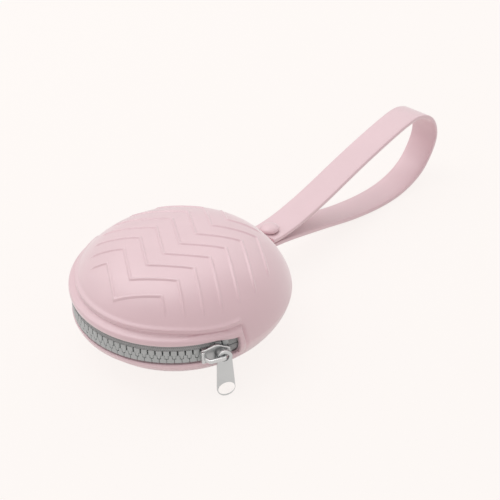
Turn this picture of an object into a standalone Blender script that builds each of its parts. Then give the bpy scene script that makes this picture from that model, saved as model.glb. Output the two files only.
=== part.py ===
"""A round silicone zip case for pacifiers, with a wrist strap that buttons on a peg.

Metres, +Z up. The origin is the centre of the flat foot, +Y points along the strap, and the
case's own axis is Z. The zip runs round the front, from one end of the lid's fold to the other.
Polar angles are measured from +X, so the middle of the zip is at -90 degrees.
"""

import math

import bmesh
import bpy
from mathutils import Matrix, Vector

MM = 0.001

# Case moulding
CASE_RADIUS = 44.0 * MM
DOME_HEIGHT = 22.0 * MM
LOWER_DOME_HEIGHT = 19.8 * MM
FOOT_FLAT = 0.8 * MM
MID_HEIGHT = LOWER_DOME_HEIGHT - FOOT_FLAT
PLAN_POWER = 3.48
HEIGHT_POWER = 1.44
WALL = 1.8 * MM
CASE_SEGMENTS = 60
CAVITY_SEGMENTS = 42

# Window of the zip, its rolled lip and the groove that frames it
WINDOW_HALF_HEIGHT = 4.0 * MM
WINDOW_END = math.radians(-13.5)
WINDOW_START = -math.pi - WINDOW_END
WINDOW_STEP = math.radians(5.0)
WINDOW_CUT_REACH = 7.0 * MM
# Steps of the rounded flank, outward from the lip's crest and up from the slot's edge
WINDOW_FLANK = [(-1.5 * MM, 0.0), (-0.6 * MM, 0.45 * MM), (-0.05 * MM, 1.3 * MM), (0.05 * MM, 1.8 * MM)]
LIP_SETBACK = 1.0 * MM
LIP_CREST = CASE_RADIUS - LIP_SETBACK
LIP_DEPTH = 1.1 * MM
LIP_HALF_WIDTH = 1.5 * MM
LIP_SIDES = 8
GROOVE_HEIGHT = 8.0 * MM
GROOVE_RADIUS = 0.9 * MM
GROOVE_END = math.radians(-8.4)
GROOVE_SIDES = 6
CORNER_RADIUS = 2.0 * MM
CORNER_STEPS = 4
ARC_STEP = math.radians(6.0)

# Raised chevrons on the lid, inside a circle a little off the case's centre
RIB_CENTRE_X = 2.2 * MM
RIB_MARGIN = 9.0 * MM
RIB_FIELD_RADIUS = CASE_RADIUS - RIB_MARGIN
RIB_PEAK_X = 14.65 * MM
RIB_AMPLITUDE = 10.2 * MM
RIB_PITCH = 8.53 * MM
RIB_COUNT = 8
FIRST_VALLEY_Y = 0.6 * MM - RIB_FIELD_RADIUS
RIB_HALF_WIDTH = 0.6 * MM
RIB_SINK = 0.05 * MM
RIB_STEP = 4.0 * MM

# Lid's fold: a gore of the dome between two planes through the hinge line
CLEARANCE = 0.3 * MM
HINGE_Y = (CASE_RADIUS - WALL) * math.sin(WINDOW_END)
LID_PLANE = math.radians(60.0)
CASE_PLANE = math.radians(98.0)
FOLD_LOW = WINDOW_HALF_HEIGHT - 0.8 * MM
CUT_MARGIN = 16.0 * MM

# Zip chain and tape
TAPE_THICKNESS = 0.5 * MM
TAPE_REACH = 8.6 * MM
TOOTH_SETBACK = 1.8 * MM
TOOTH_OUTER_RADIUS = CASE_RADIUS - TOOTH_SETBACK
TOOTH_DEPTH = 2.7 * MM
TOOTH_PITCH = 2.8 * MM
TOOTH_WIDTH = 1.0 * MM
TOOTH_OVERLAP = 0.75 * MM
CHAIN_HALF_HEIGHT = 2.4 * MM
CORD_HEIGHT = 0.5 * MM
MOUTH_SPREAD = 1.4 * MM
STOP_LENGTH = 1.6 * MM
STOP_DEPTH = 1.8 * MM
STOP_HEIGHT = 1.4 * MM

# How far in from the ends of the slot the pieces of the zip sit, measured along the teeth
STOP_INSET = 3.2 * MM
CHAIN_INSET = 5.2 * MM
SLIDER_INSET = 9.72 * MM
END_STOP_INSET = 1.6 * MM
STOP_ANGLE = WINDOW_END - STOP_INSET / TOOTH_OUTER_RADIUS
CHAIN_END = WINDOW_END - CHAIN_INSET / TOOTH_OUTER_RADIUS
SLIDER_ANGLE = WINDOW_END - SLIDER_INSET / TOOTH_OUTER_RADIUS
END_STOP_ANGLE = WINDOW_START + END_STOP_INSET / TOOTH_OUTER_RADIUS

# Slider and puller
SLIDER_LENGTH = 11.4 * MM
SLIDER_TAIL_HALF = 3.2 * MM
SLIDER_SHOULDER_HALF = 3.8 * MM
SLIDER_SHOULDER_X = 1.2 * MM
SLIDER_NOSE_HALF = 2.0 * MM
SLIDER_NOSE_SLOPE = 2.5 * MM
PLATE_THICKNESS = 1.2 * MM
PLATE_BACKLASH = 0.7 * MM
OUTER_PLATE_RADIUS = TOOTH_OUTER_RADIUS + CLEARANCE
INNER_PLATE_RADIUS = TOOTH_OUTER_RADIUS - TOOTH_DEPTH - PLATE_BACKLASH
FLANGE_THICKNESS = 0.45 * MM
FLANGE_DEPTH = 1.1 * MM
FLANGE_STEP = 0.1 * MM
POST_HALF_HEIGHT = 0.35 * MM
POST_LENGTH = 2.0 * MM
CROWN_HALF_WIDTH = 0.65 * MM
CROWN_BAR = 1.0 * MM
CROWN_INNER_HEIGHT = 3.2 * MM
CROWN_TAIL_LEG = 1.4 * MM
CROWN_NOSE_X = 3.0 * MM
CROWN_TAIL_X = -5.0 * MM
TAB_THICKNESS = 1.3 * MM
TAB_PLAY = 0.45 * MM
TAB_HEAD_RADIUS = 3.0 * MM
TAB_HOLE_RADIUS = 1.7 * MM
TAB_END_RADIUS = 3.55 * MM
TAB_REACH = 18.9 * MM
TAB_EYE_DROP = 0.65 * MM

# Strap
STRAP_WIDTH = 13.5 * MM
STRAP_THICKNESS = 1.7 * MM
STRAP_EDGE = 0.5 * MM
STRAP_STEP = 4.0 * MM
PEG_DISTANCE = 8.0 * MM
PEG_Y = CASE_RADIUS + PEG_DISTANCE
PEG_STEM_RADIUS = 1.9 * MM
PEG_HEAD_RADIUS = 4.0 * MM
PEG_HEAD_HEIGHT = 2.2 * MM
PEG_HOLE_CLEARANCE = 0.5 * MM
PEG_SEGMENTS = 20

# The strap's middle line in millimetres: sideways, outward from the case's side and above its mid
# plane. The stub starts inside the wall, the run out goes along the underside and round the far
# bend, and the run back comes along the top to the strap's free end.
STRAP_STUB = [(0.0, -2.0, -2.5), (0.0, 2.0, -2.8)]
STRAP_RUN_OUT = [
    (0.2, 14.0, -4.9),
    (0.8, 34.0, -9.6),
    (1.4, 55.0, -14.8),
    (1.8, 74.0, -17.6),
    (1.8, 89.0, -17.5),
    (1.6, 101.5, -13.8),
    (1.2, 109.8, -6.4),
    (0.6, 113.4, 1.0),
    (0.0, 111.2, 8.6),
    (-0.6, 104.3, 13.2),
]
STRAP_RUN_BACK = [
    (-1.1, 94.0, 13.4),
    (-1.5, 68.0, 8.0),
    (-1.1, 40.0, 1.6),
    (-0.5, 26.0, -0.5),
    (0.0, 16.0, -1.2),
    (0.0, 8.0, -1.4),
    (0.0, 3.6, -0.9),
]

PINK = (0.78, 0.62, 0.64, 1.0)
TAPE_GREY = (0.27, 0.28, 0.28, 1.0)
TOOTH_GREY = (0.38, 0.40, 0.40, 1.0)
SILVER = (0.80, 0.80, 0.81, 1.0)


def clear_scene():
    for obj in list(bpy.data.objects):
        bpy.data.objects.remove(obj)


def new_collection(name):
    collection = bpy.data.collections.new(name)
    bpy.context.scene.collection.children.link(collection)
    return collection


def make_material(name, colour, roughness, metallic):
    material = bpy.data.materials.new(name)
    material.use_nodes = True
    shader = material.node_tree.nodes["Principled BSDF"]
    shader.inputs["Base Color"].default_value = colour
    shader.inputs["Roughness"].default_value = roughness
    shader.inputs["Metallic"].default_value = metallic
    return material


def new_object(name, mesh, material=None):
    """A named object among the parts, or among the cutters if it has no material."""
    obj = bpy.data.objects.new(name, mesh)
    if material:
        mesh.materials.append(material)
        parts.objects.link(obj)
    else:
        cutters.objects.link(obj)
        obj.hide_render = True
        obj.display_type = "WIRE"
    return obj


def mesh_from(name, build):
    mesh = bpy.data.meshes.new(name)
    shape = bmesh.new()
    build(shape)
    shape.to_mesh(mesh)
    shape.free()
    return mesh


def baked_mesh(obj, name):
    """The object as its modifiers or its bevel make it, as one plain mesh."""
    bpy.context.view_layer.update()
    graph = bpy.context.evaluated_depsgraph_get()
    mesh = bpy.data.meshes.new_from_object(obj.evaluated_get(graph))
    mesh.name = name
    return mesh


def boolean(obj, other, operation, solver="EXACT"):
    """Joins to the object, cuts from it, or keeps of it, what the other solid covers."""
    modifier = obj.modifiers.new(operation.lower(), "BOOLEAN")
    modifier.operation = operation
    modifier.solver = solver
    modifier.object = other
    obj.data = baked_mesh(obj, obj.name)
    obj.modifiers.clear()


def outer_radius(z, inset=0.0):
    """Radius of the case's outside, or of a surface inset from it, at a height off mid plane."""
    height = DOME_HEIGHT if z > 0 else LOWER_DOME_HEIGHT
    share = min(1.0, abs(z) / (height - inset))
    return (CASE_RADIUS - inset) * (1 - share**HEIGHT_POWER) ** (1 / PLAN_POWER)


def dome_height(radius):
    return DOME_HEIGHT * (1 - (radius / CASE_RADIUS) ** PLAN_POWER) ** (1 / HEIGHT_POWER)


def polar(radius, angle, z):
    """A point by its radius, polar angle and height off the mid plane."""
    return Vector((radius * math.cos(angle), radius * math.sin(angle), MID_HEIGHT + z))


def turned(name, profile, segments, centre=(0.0, 0.0, 0.0), material=None):
    """A solid of revolution about a vertical axis, from a profile that runs top to bottom."""
    mesh = bpy.data.meshes.new(name)
    points = [(radius, 0.0, z) for radius, z in profile]
    mesh.from_pydata(points, [(i, i + 1) for i in range(len(points) - 1)], [])
    obj = new_object(name, mesh, material)
    screw = obj.modifiers.new("turn", "SCREW")
    screw.steps = segments
    screw.render_steps = segments
    screw.use_merge_vertices = True
    screw.merge_threshold = 0.00001
    obj.data = baked_mesh(obj, name)
    obj.modifiers.clear()
    obj.data.transform(Matrix.Translation(Vector(centre)))
    return obj


def dome_profile(inset, floor_depth, steps):
    """Outline of the case, or of its cavity, from the top of the dome to the flat floor."""
    radius = CASE_RADIUS - inset
    points = []
    for step in range(2 * steps + 1):
        angle = step * math.pi / (2 * steps)
        height = (DOME_HEIGHT if step < steps else LOWER_DOME_HEIGHT) - inset
        z = height * math.copysign(abs(math.cos(angle)) ** (2 / HEIGHT_POWER), math.cos(angle))
        if z < -floor_depth:
            break
        points.append((radius * math.sin(angle) ** (2 / PLAN_POWER), MID_HEIGHT + z))
    points.append((outer_radius(-floor_depth, inset), MID_HEIGHT - floor_depth))
    points.append((0.0, MID_HEIGHT - floor_depth))
    return points


def loft(name, rings, closed, material=None):
    """A solid through sections of equal size, with end caps unless the path closes."""

    def build(shape):
        rows = [[shape.verts.new(point) for point in ring] for ring in rings]
        pairs = list(zip(rows, rows[1:]))
        if closed:
            pairs.append((rows[-1], rows[0]))
        count = len(rows[0])
        for low, high in pairs:
            for i in range(count):
                j = (i + 1) % count
                shape.faces.new((low[i], low[j], high[j], high[i]))
        if not closed:
            shape.faces.new(rows[0])
            shape.faces.new(rows[-1])
        bmesh.ops.recalc_face_normals(shape, faces=shape.faces)

    return new_object(name, mesh_from(name, build), material)


def plate(name, outline, low, high, frame, material=None):
    """A flat outline given in the frame's X and Y, extruded along its Z between two levels."""

    def build(shape):
        face = shape.faces.new([shape.verts.new((x, y, low)) for x, y in outline])
        moved = bmesh.ops.extrude_face_region(shape, geom=[face])["geom"]
        points = [item for item in moved if isinstance(item, bmesh.types.BMVert)]
        bmesh.ops.translate(shape, vec=(0.0, 0.0, high - low), verts=points)
        bmesh.ops.recalc_face_normals(shape, faces=shape.faces)
        bmesh.ops.transform(shape, matrix=frame, verts=shape.verts)

    return new_object(name, mesh_from(name, build), material)


def cylinder(name, radius, depth, matrix, segments):
    def build(shape):
        bmesh.ops.create_cone(
            shape,
            cap_ends=True,
            segments=segments,
            radius1=radius,
            radius2=radius,
            depth=depth,
            matrix=matrix,
        )

    return new_object(name, mesh_from(name, build))


def frame_path(end_angle, half_height):
    """Angle and height of points on a rounded rectangle wrapped round the front of the case."""
    start_angle = -math.pi - end_angle
    turn = CORNER_RADIUS / CASE_RADIUS
    count = math.ceil((end_angle - start_angle - 2 * turn) / ARC_STEP)
    long_side = [
        start_angle + turn + i * (end_angle - start_angle - 2 * turn) / count
        for i in range(count + 1)
    ]
    flat = half_height - CORNER_RADIUS
    corner = [i * math.pi / 2 / CORNER_STEPS for i in range(1, CORNER_STEPS)]
    path = [(angle, half_height) for angle in long_side]
    for a in corner:
        path.append((end_angle - turn * (1 - math.sin(a)), flat + CORNER_RADIUS * math.cos(a)))
    path += [(end_angle, flat), (end_angle, 0.0), (end_angle, -flat)]
    for a in reversed(corner):
        path.append((end_angle - turn * (1 - math.sin(a)), -flat - CORNER_RADIUS * math.cos(a)))
    path += [(angle, -half_height) for angle in reversed(long_side)]
    for a in corner:
        path.append((start_angle + turn * (1 - math.sin(a)), -flat - CORNER_RADIUS * math.cos(a)))
    path += [(start_angle, -flat), (start_angle, 0.0), (start_angle, flat)]
    for a in reversed(corner):
        path.append((start_angle + turn * (1 - math.sin(a)), flat + CORNER_RADIUS * math.cos(a)))
    return path


def swept_frame(name, path, radius_at, depth, half_width, sides):
    """A bead with an oval section that follows a closed path on the case's wall."""
    centres = [polar(radius_at(z), angle, z) for angle, z in path]
    rings = []
    for i, (angle, _) in enumerate(path):
        along = (centres[(i + 1) % len(path)] - centres[i - 1]).normalized()
        outward = Vector((math.cos(angle), math.sin(angle), 0.0))
        outward = (outward - outward.dot(along) * along).normalized()
        across = along.cross(outward)
        rings.append(
            [
                centres[i]
                + outward * (depth * math.cos(2 * math.pi * k / sides))
                + across * (half_width * math.sin(2 * math.pi * k / sides))
                for k in range(sides)
            ]
        )
    return loft(name, rings, closed=True)


def arc_angles(start, end, step):
    count = math.ceil((end - start) / step)
    return [start + i * (end - start) / count for i in range(count + 1)]


def window_cutter():
    """The slot of the zip, whose flanks round over into the lip."""
    flank = [
        (LIP_CREST + in_or_out, WINDOW_HALF_HEIGHT + rise) for in_or_out, rise in WINDOW_FLANK
    ]
    inner = LIP_CREST - WINDOW_CUT_REACH
    outer = LIP_CREST + WINDOW_CUT_REACH
    upper = [(inner, WINDOW_HALF_HEIGHT)] + flank + [(outer, flank[-1][1])]
    section = upper + [(radius, -z) for radius, z in reversed(upper)]
    angles = arc_angles(WINDOW_START, WINDOW_END, WINDOW_STEP)
    rings = [[polar(radius, angle, z) for radius, z in section] for angle in angles]
    return loft("window_cutter", rings, closed=False)


def rib_polyline(valley_y):
    """Plan points of one chevron about the rib field's centre, cut off by the field's circle."""
    reach = RIB_FIELD_RADIUS
    slope = RIB_AMPLITUDE / RIB_PEAK_X
    steps = math.ceil(reach / RIB_STEP) * 8

    def y_at(x):
        return valley_y + slope * (abs(x) if abs(x) <= RIB_PEAK_X else 2 * RIB_PEAK_X - abs(x))

    samples = [i * reach / steps for i in range(steps + 1)]
    edge = [x for x in samples if math.hypot(x, y_at(x)) < reach][-1]
    stations = [0.0]
    for start, end in ((0.0, min(RIB_PEAK_X, edge)), (RIB_PEAK_X, edge)):
        if end > start:
            count = max(1, math.ceil((end - start) / (RIB_STEP * math.cos(math.atan(slope)))))
            stations += [start + (end - start) * (i + 1) / count for i in range(count)]
    side = [(x, y_at(x)) for x in stations]
    return [(-x, y) for x, y in reversed(side[1:])] + side


def make_ribs():
    """All chevrons as one set of beads, tapered to nothing at their ends."""
    curve = bpy.data.curves.new("ribs", "CURVE")
    curve.dimensions = "3D"
    curve.bevel_depth = RIB_HALF_WIDTH
    curve.bevel_resolution = 1
    curve.use_fill_caps = True
    for number in range(RIB_COUNT):
        points = rib_polyline(FIRST_VALLEY_Y + number * RIB_PITCH)
        spline = curve.splines.new("POLY")
        spline.points.add(len(points) - 1)
        for i, (x, y) in enumerate(points):
            place_x = x + RIB_CENTRE_X
            z = MID_HEIGHT + dome_height(math.hypot(place_x, y)) - RIB_SINK
            spline.points[i].co = (place_x, y, z, 1.0)
            spline.points[i].radius = 0.35 if i in (0, len(points) - 1) else 1.0
    guide = bpy.data.objects.new("rib_guide", curve)
    cutters.objects.link(guide)
    mesh = baked_mesh(guide, "ribs")
    bpy.data.objects.remove(guide)
    shape = bmesh.new()
    shape.from_mesh(mesh)
    bmesh.ops.remove_doubles(shape, verts=shape.verts, dist=0.000001)
    bmesh.ops.recalc_face_normals(shape, faces=shape.faces)
    shape.to_mesh(mesh)
    shape.free()
    return new_object("ribs", mesh)


def plane_y(angle, z):
    """Where a plane through the hinge line, raised from the front by an angle, is at a height."""
    return HINGE_Y - z / math.tan(angle)


def region(name, outline):
    """A block across the whole case, from an outline in Y and height off the mid plane."""
    frame = Matrix(((0, 0, 1, 0), (1, 0, 0, 0), (0, 1, 0, MID_HEIGHT), (0, 0, 0, 1)))
    reach = CASE_RADIUS + CUT_MARGIN
    return plate(name, outline, -reach, reach, frame)


def strap_route(points):
    """Route points in the case's own frame."""
    return [Vector((x * MM, CASE_RADIUS + y * MM, MID_HEIGHT + z * MM)) for x, y, z in points]


def strap_line():
    """Closely set points along a smooth line through the strap's route, and the route's places."""
    points = strap_route(STRAP_STUB + STRAP_RUN_OUT + STRAP_RUN_BACK)
    line = []
    places = []
    for i in range(len(points) - 1):
        before = points[max(i - 1, 0)]
        after = points[min(i + 2, len(points) - 1)]
        here, there = points[i], points[i + 1]
        places.append(len(line))
        count = max(1, round((there - here).length / STRAP_STEP))
        for k in range(count):
            t = k / count
            line.append(
                0.5
                * (
                    2 * here
                    + (there - before) * t
                    + (2 * before - 5 * here + 4 * there - after) * t**2
                    + (3 * here - before - 3 * there + after) * t**3
                )
            )
    places.append(len(line))
    line.append(points[-1])
    root = places[len(STRAP_STUB) - 1]
    bend = places[len(STRAP_STUB) + len(STRAP_RUN_OUT) - 1]
    return line, root, bend


def strap_run(name, start, end, material=None):
    """The stretch of strap between two of its line's points, half a clearance short at joints."""
    line, root, bend = strap_line()
    half_width, half_thick = STRAP_WIDTH / 2, STRAP_THICKNESS / 2
    corners = []
    for x_sign, z_sign, flat_first in ((1, 1, True), (1, -1, False), (-1, -1, True), (-1, 1, False)):
        pair = [
            (x_sign * (half_width - STRAP_EDGE), z_sign * half_thick),
            (x_sign * half_width, z_sign * (half_thick - STRAP_EDGE)),
        ]
        corners += pair if flat_first else pair[::-1]
    rings = []
    for i in range(start, end + 1):
        along = (line[min(i + 1, len(line) - 1)] - line[max(i - 1, 0)]).normalized()
        centre = line[i].copy()
        if i in (root, bend) and i == start:
            centre += along * CLEARANCE / 2
        if i in (root, bend) and i == end:
            centre -= along * CLEARANCE / 2
        normal = Vector((1.0, 0.0, 0.0)).cross(along).normalized()
        across = along.cross(normal)
        rings.append([centre + across * x + normal * z for x, z in corners])
    return loft(name, rings, False, material)


def strap_height(y, points):
    """Height of the strap's middle line, read between neighbouring route points."""
    for near, far in zip(points, points[1:]):
        if min(near.y, far.y) <= y <= max(near.y, far.y):
            return near.z + (far.z - near.z) * (y - near.y) / (far.y - near.y)
    return points[-1].z


def hang_on(obj, axis_empty):
    """Puts an object's origin on its joint's axis, where the empty stands."""
    obj.data.transform(Matrix.Translation(-axis_empty.matrix_world.translation))
    obj.parent = axis_empty


def joint_empty(name, place, parent=None):
    empty = bpy.data.objects.new(name, None)
    parts.objects.link(empty)
    if parent:
        empty.parent = parent
        place = place - parent.matrix_world.translation
    empty.location = place
    bpy.context.view_layer.update()
    return empty


def make_skin():
    """The silicone moulding in one piece: domes, lip, groove and chevrons, hollow and slotted."""
    skin = turned("skin", dome_profile(0.0, MID_HEIGHT, 10), CASE_SEGMENTS)
    lip_height = WINDOW_HALF_HEIGHT + LIP_HALF_WIDTH
    lip_centre = LIP_CREST - LIP_DEPTH
    lip_path = frame_path(WINDOW_END + LIP_HALF_WIDTH / CASE_RADIUS, lip_height)
    lip = swept_frame("lip", lip_path, lambda z: lip_centre, LIP_DEPTH, LIP_HALF_WIDTH, LIP_SIDES)
    boolean(skin, lip, "UNION")
    boolean(skin, make_ribs(), "UNION")
    groove_path = frame_path(GROOVE_END, GROOVE_HEIGHT)
    groove = swept_frame(
        "groove_cutter", groove_path, outer_radius, GROOVE_RADIUS, GROOVE_RADIUS, GROOVE_SIDES
    )
    boolean(skin, groove, "DIFFERENCE")
    cavity = turned("cavity_cutter", dome_profile(WALL, MID_HEIGHT - WALL, 9), CAVITY_SEGMENTS)
    boolean(skin, cavity, "DIFFERENCE")
    boolean(skin, window_cutter(), "DIFFERENCE")
    return skin


def make_shells(skin):
    """The moulding taken apart where it bends: case, fold and lid."""
    top = DOME_HEIGHT + CUT_MARGIN
    front = -CASE_RADIUS - CUT_MARGIN
    low = WINDOW_HALF_HEIGHT / 2
    case_low = FOLD_LOW - CLEARANCE
    lid_gap = CLEARANCE / 2 / math.sin(LID_PLANE)
    case_gap = CLEARANCE / 2 / math.sin(CASE_PLANE)
    sill = HINGE_Y - 0.6 * MM

    case_shell = new_object("case_shell", skin.data.copy(), silicone)
    above_case = region(
        "above_case_cutter",
        [
            (front, low),
            (sill, low),
            (sill, case_low),
            (plane_y(CASE_PLANE, case_low) + case_gap, case_low),
            (plane_y(CASE_PLANE, top) + case_gap, top),
            (front, top),
        ],
    )
    boolean(case_shell, above_case, "DIFFERENCE", "MANIFOLD")
    _, root, _ = strap_line()
    boolean(case_shell, strap_run("strap_root", 0, root), "UNION")

    lid_fold = new_object("lid_fold", skin.data.copy(), silicone)
    gore = region(
        "fold_region",
        [
            (plane_y(LID_PLANE, FOLD_LOW) + lid_gap, FOLD_LOW),
            (plane_y(CASE_PLANE, FOLD_LOW) - case_gap, FOLD_LOW),
            (plane_y(CASE_PLANE, top) - case_gap, top),
            (plane_y(LID_PLANE, top) + lid_gap, top),
        ],
    )
    boolean(lid_fold, gore, "INTERSECT", "MANIFOLD")

    lid_shell = new_object("lid_shell", skin.data.copy(), silicone)
    lid_block = region(
        "lid_region",
        [
            (front, low),
            (plane_y(LID_PLANE, low) - lid_gap, low),
            (plane_y(LID_PLANE, top) - lid_gap, top),
            (front, top),
        ],
    )
    boolean(lid_shell, lid_block, "INTERSECT", "MANIFOLD")
    return case_shell, lid_fold, lid_shell


def mouth_spread(angle):
    """How far each row stands off the middle, nothing until the slider parts the rows."""
    start = SLIDER_ANGLE - 0.4 * MM / TOOTH_OUTER_RADIUS
    end = SLIDER_ANGLE + 2.4 * MM / TOOTH_OUTER_RADIUS
    share = min(1.0, max(0.0, (angle - start) / (end - start)))
    return MOUTH_SPREAD * share * share * (3 - 2 * share)


def make_tape(name, sign):
    """Woven tape behind the lip, from the teeth's cord to where it is glued in the dome."""
    inner_edge = CHAIN_HALF_HEIGHT + CLEARANCE
    angles = arc_angles(WINDOW_START + 0.02, SLIDER_ANGLE - 0.02, ARC_STEP)
    angles += arc_angles(SLIDER_ANGLE - 0.02, WINDOW_END - 0.02, math.radians(2.0))[1:]
    rings = []
    for angle in angles:
        edge = inner_edge + mouth_spread(angle)
        seat = max(edge + 0.2 * MM, WINDOW_HALF_HEIGHT + 0.4 * MM)
        outside = []
        for z in (edge, seat, (seat + TAPE_REACH) / 2, TAPE_REACH):
            level = sign * max(z, seat)
            outside.append((outer_radius(level, WALL) - CLEARANCE, z))
        inside = [(radius - TAPE_THICKNESS, z) for radius, z in reversed(outside)]
        rings.append([polar(radius, angle, sign * z) for radius, z in outside + inside])
    return loft(name, rings, False, tape_cloth)


def make_teeth(name, sign, shift):
    """One row of teeth on its cord, as a comb bent round the case."""
    pitch = TOOTH_PITCH / TOOTH_OUTER_RADIUS
    half = TOOTH_WIDTH / 2 / TOOTH_OUTER_RADIUS
    first = CHAIN_END - pitch * shift
    last_place = END_STOP_ANGLE + (STOP_LENGTH / 2 + TOOTH_PITCH) / TOOTH_OUTER_RADIUS
    count = math.floor((CHAIN_END - last_place) / pitch)
    cord_inner = CHAIN_HALF_HEIGHT - CORD_HEIGHT

    def build(shape):
        def point(angle, z):
            return shape.verts.new(polar(TOOTH_OUTER_RADIUS, angle, sign * (z + mouth_spread(angle))))

        last = None
        for number in range(count):
            centre = first - number * pitch
            right = [point(centre + half, z) for z in (CHAIN_HALF_HEIGHT, cord_inner)]
            left = [point(centre - half, z) for z in (CHAIN_HALF_HEIGHT, cord_inner)]
            spread = mouth_spread(centre)
            tips = [
                shape.verts.new(polar(TOOTH_OUTER_RADIUS, angle, sign * (spread - TOOTH_OVERLAP)))
                for angle in (centre + half, centre - half)
            ]
            shape.faces.new((right[0], right[1], left[1], left[0]))
            shape.faces.new((right[1], tips[0], tips[1], left[1]))
            if last:
                shape.faces.new((last[0], last[1], right[1], right[0]))
            last = left
        bmesh.ops.recalc_face_normals(shape, faces=shape.faces)
        shape.faces.ensure_lookup_table()
        outward = Vector((math.cos(first), math.sin(first), 0.0))
        if shape.faces[0].normal.dot(outward) < 0:
            bmesh.ops.reverse_faces(shape, faces=shape.faces)

    obj = new_object(name, mesh_from(name, build), tooth_plastic)
    solid = obj.modifiers.new("depth", "SOLIDIFY")
    solid.thickness = TOOTH_DEPTH
    solid.offset = -1.0
    solid.use_even_offset = False
    return obj


def tangent_frame(angle, lean=0.0):
    """Frame on the case's axis: X along the zip, Y up and Z outward, turned by a lean."""
    outward = Vector((math.cos(angle), math.sin(angle), 0.0))
    along = Vector((-math.sin(angle), math.cos(angle), 0.0))
    up = Vector((0.0, 0.0, 1.0))
    axes = Matrix((along, up, outward)).transposed().to_4x4()
    return Matrix.Translation((0.0, 0.0, MID_HEIGHT)) @ axes @ Matrix.Rotation(lean, 4, "Z")


def box_outline(left, right, low, high):
    return [(left, low), (right, low), (right, high), (left, high)]


def make_stops():
    """Small blocks that keep the slider on the chain."""
    half = STOP_LENGTH / 2
    inner = TOOTH_OUTER_RADIUS - TOOTH_DEPTH
    top = CHAIN_HALF_HEIGHT + MOUTH_SPREAD
    bottom = top - STOP_HEIGHT
    stops = []
    for name, sign in (("upper_stop", 1), ("lower_stop", -1)):
        low, high = sorted((sign * bottom, sign * top))
        outline = box_outline(-half, half, low, high)
        frame = tangent_frame(STOP_ANGLE)
        stops.append(plate(name, outline, inner, inner + STOP_DEPTH, frame, tooth_plastic))
    outline = box_outline(-half, half, -CHAIN_HALF_HEIGHT, CHAIN_HALF_HEIGHT)
    frame = tangent_frame(END_STOP_ANGLE)
    stops.append(plate("end_stop", outline, inner, TOOTH_OUTER_RADIUS, frame, tooth_plastic))
    return stops


def slider_outline():
    """Plan of a slider plate: slim at its tail, wide at its shoulders and drawn in at its nose."""
    half = SLIDER_LENGTH / 2
    upper = [
        (-half, SLIDER_TAIL_HALF - 0.8 * MM),
        (-half + 0.8 * MM, SLIDER_TAIL_HALF),
        (-SLIDER_SHOULDER_X - 1.5 * MM, SLIDER_TAIL_HALF),
        (-SLIDER_SHOULDER_X, SLIDER_SHOULDER_HALF),
        (SLIDER_SHOULDER_X, SLIDER_SHOULDER_HALF),
        (half - SLIDER_NOSE_SLOPE, SLIDER_TAIL_HALF),
        (half, SLIDER_NOSE_HALF),
    ]
    return upper + [(x, -y) for x, y in reversed(upper)]


def make_slider():
    frame = tangent_frame(SLIDER_ANGLE)
    half = SLIDER_LENGTH / 2
    outer_face = OUTER_PLATE_RADIUS + PLATE_THICKNESS
    inner_face = INNER_PLATE_RADIUS - PLATE_THICKNESS
    overlap = PLATE_THICKNESS / 2
    body = plate(
        "slider_body", slider_outline(), OUTER_PLATE_RADIUS, outer_face, frame, bright_metal
    )
    back = plate("slider_back", slider_outline(), inner_face, INNER_PLATE_RADIUS, frame)
    post_right = half - 1.1 * MM
    post_outline = box_outline(post_right - POST_LENGTH, post_right, -POST_HALF_HEIGHT, POST_HALF_HEIGHT)
    post = plate(
        "slider_post", post_outline, inner_face + overlap, outer_face - overlap, frame
    )
    boolean(body, post, "UNION")
    boolean(body, back, "UNION")
    flange_outer = SLIDER_TAIL_HALF - FLANGE_STEP
    flange_edge = TOOTH_OUTER_RADIUS - FLANGE_DEPTH
    for name, sign in (("flange_top", 1), ("flange_bottom", -1)):
        low, high = sorted((sign * (flange_outer - FLANGE_THICKNESS), sign * flange_outer))
        outline = box_outline(-half + 1.0 * MM, -0.7 * MM, low, high)
        flange = plate(name, outline, flange_edge, OUTER_PLATE_RADIUS + overlap, frame)
        boolean(body, flange, "UNION")

    foot = outer_face + CLEARANCE
    under = outer_face + CROWN_INNER_HEIGHT
    over = under + CROWN_BAR
    nose_leg = CROWN_NOSE_X - CROWN_BAR
    tail_leg = CROWN_TAIL_X + CROWN_TAIL_LEG
    side = [
        (CROWN_TAIL_X, foot),
        (tail_leg, foot),
        (tail_leg, under),
        (nose_leg, under),
        (nose_leg, foot),
        (CROWN_NOSE_X, foot),
        (CROWN_NOSE_X, over - 0.6 * MM),
        (CROWN_NOSE_X - 0.6 * MM, over),
        (CROWN_TAIL_X + 0.6 * MM, over),
        (CROWN_TAIL_X, over - 0.6 * MM),
    ]
    turned_up = frame @ Matrix(((1, 0, 0, 0), (0, 0, -1, 0), (0, 1, 0, 0), (0, 0, 0, 1)))
    crown = plate(
        "slider_crown", side, -CROWN_HALF_WIDTH, CROWN_HALF_WIDTH, turned_up, bright_metal
    )
    return body, crown


def tab_outline():
    """Plan of the puller: a round head, straight flanks that widen and a round end."""
    head = [math.radians(step) for step in range(-10, 191, 20)]
    tip = [math.radians(step) for step in range(190, 351, 20)]
    points = []
    for radius, centre, arc in (
        (TAB_HEAD_RADIUS, -TAB_EYE_DROP, head),
        (TAB_END_RADIUS, TAB_END_RADIUS - TAB_REACH, tip),
    ):
        points += [(radius * math.cos(a), centre + radius * math.sin(a)) for a in arc]
    return points


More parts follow.
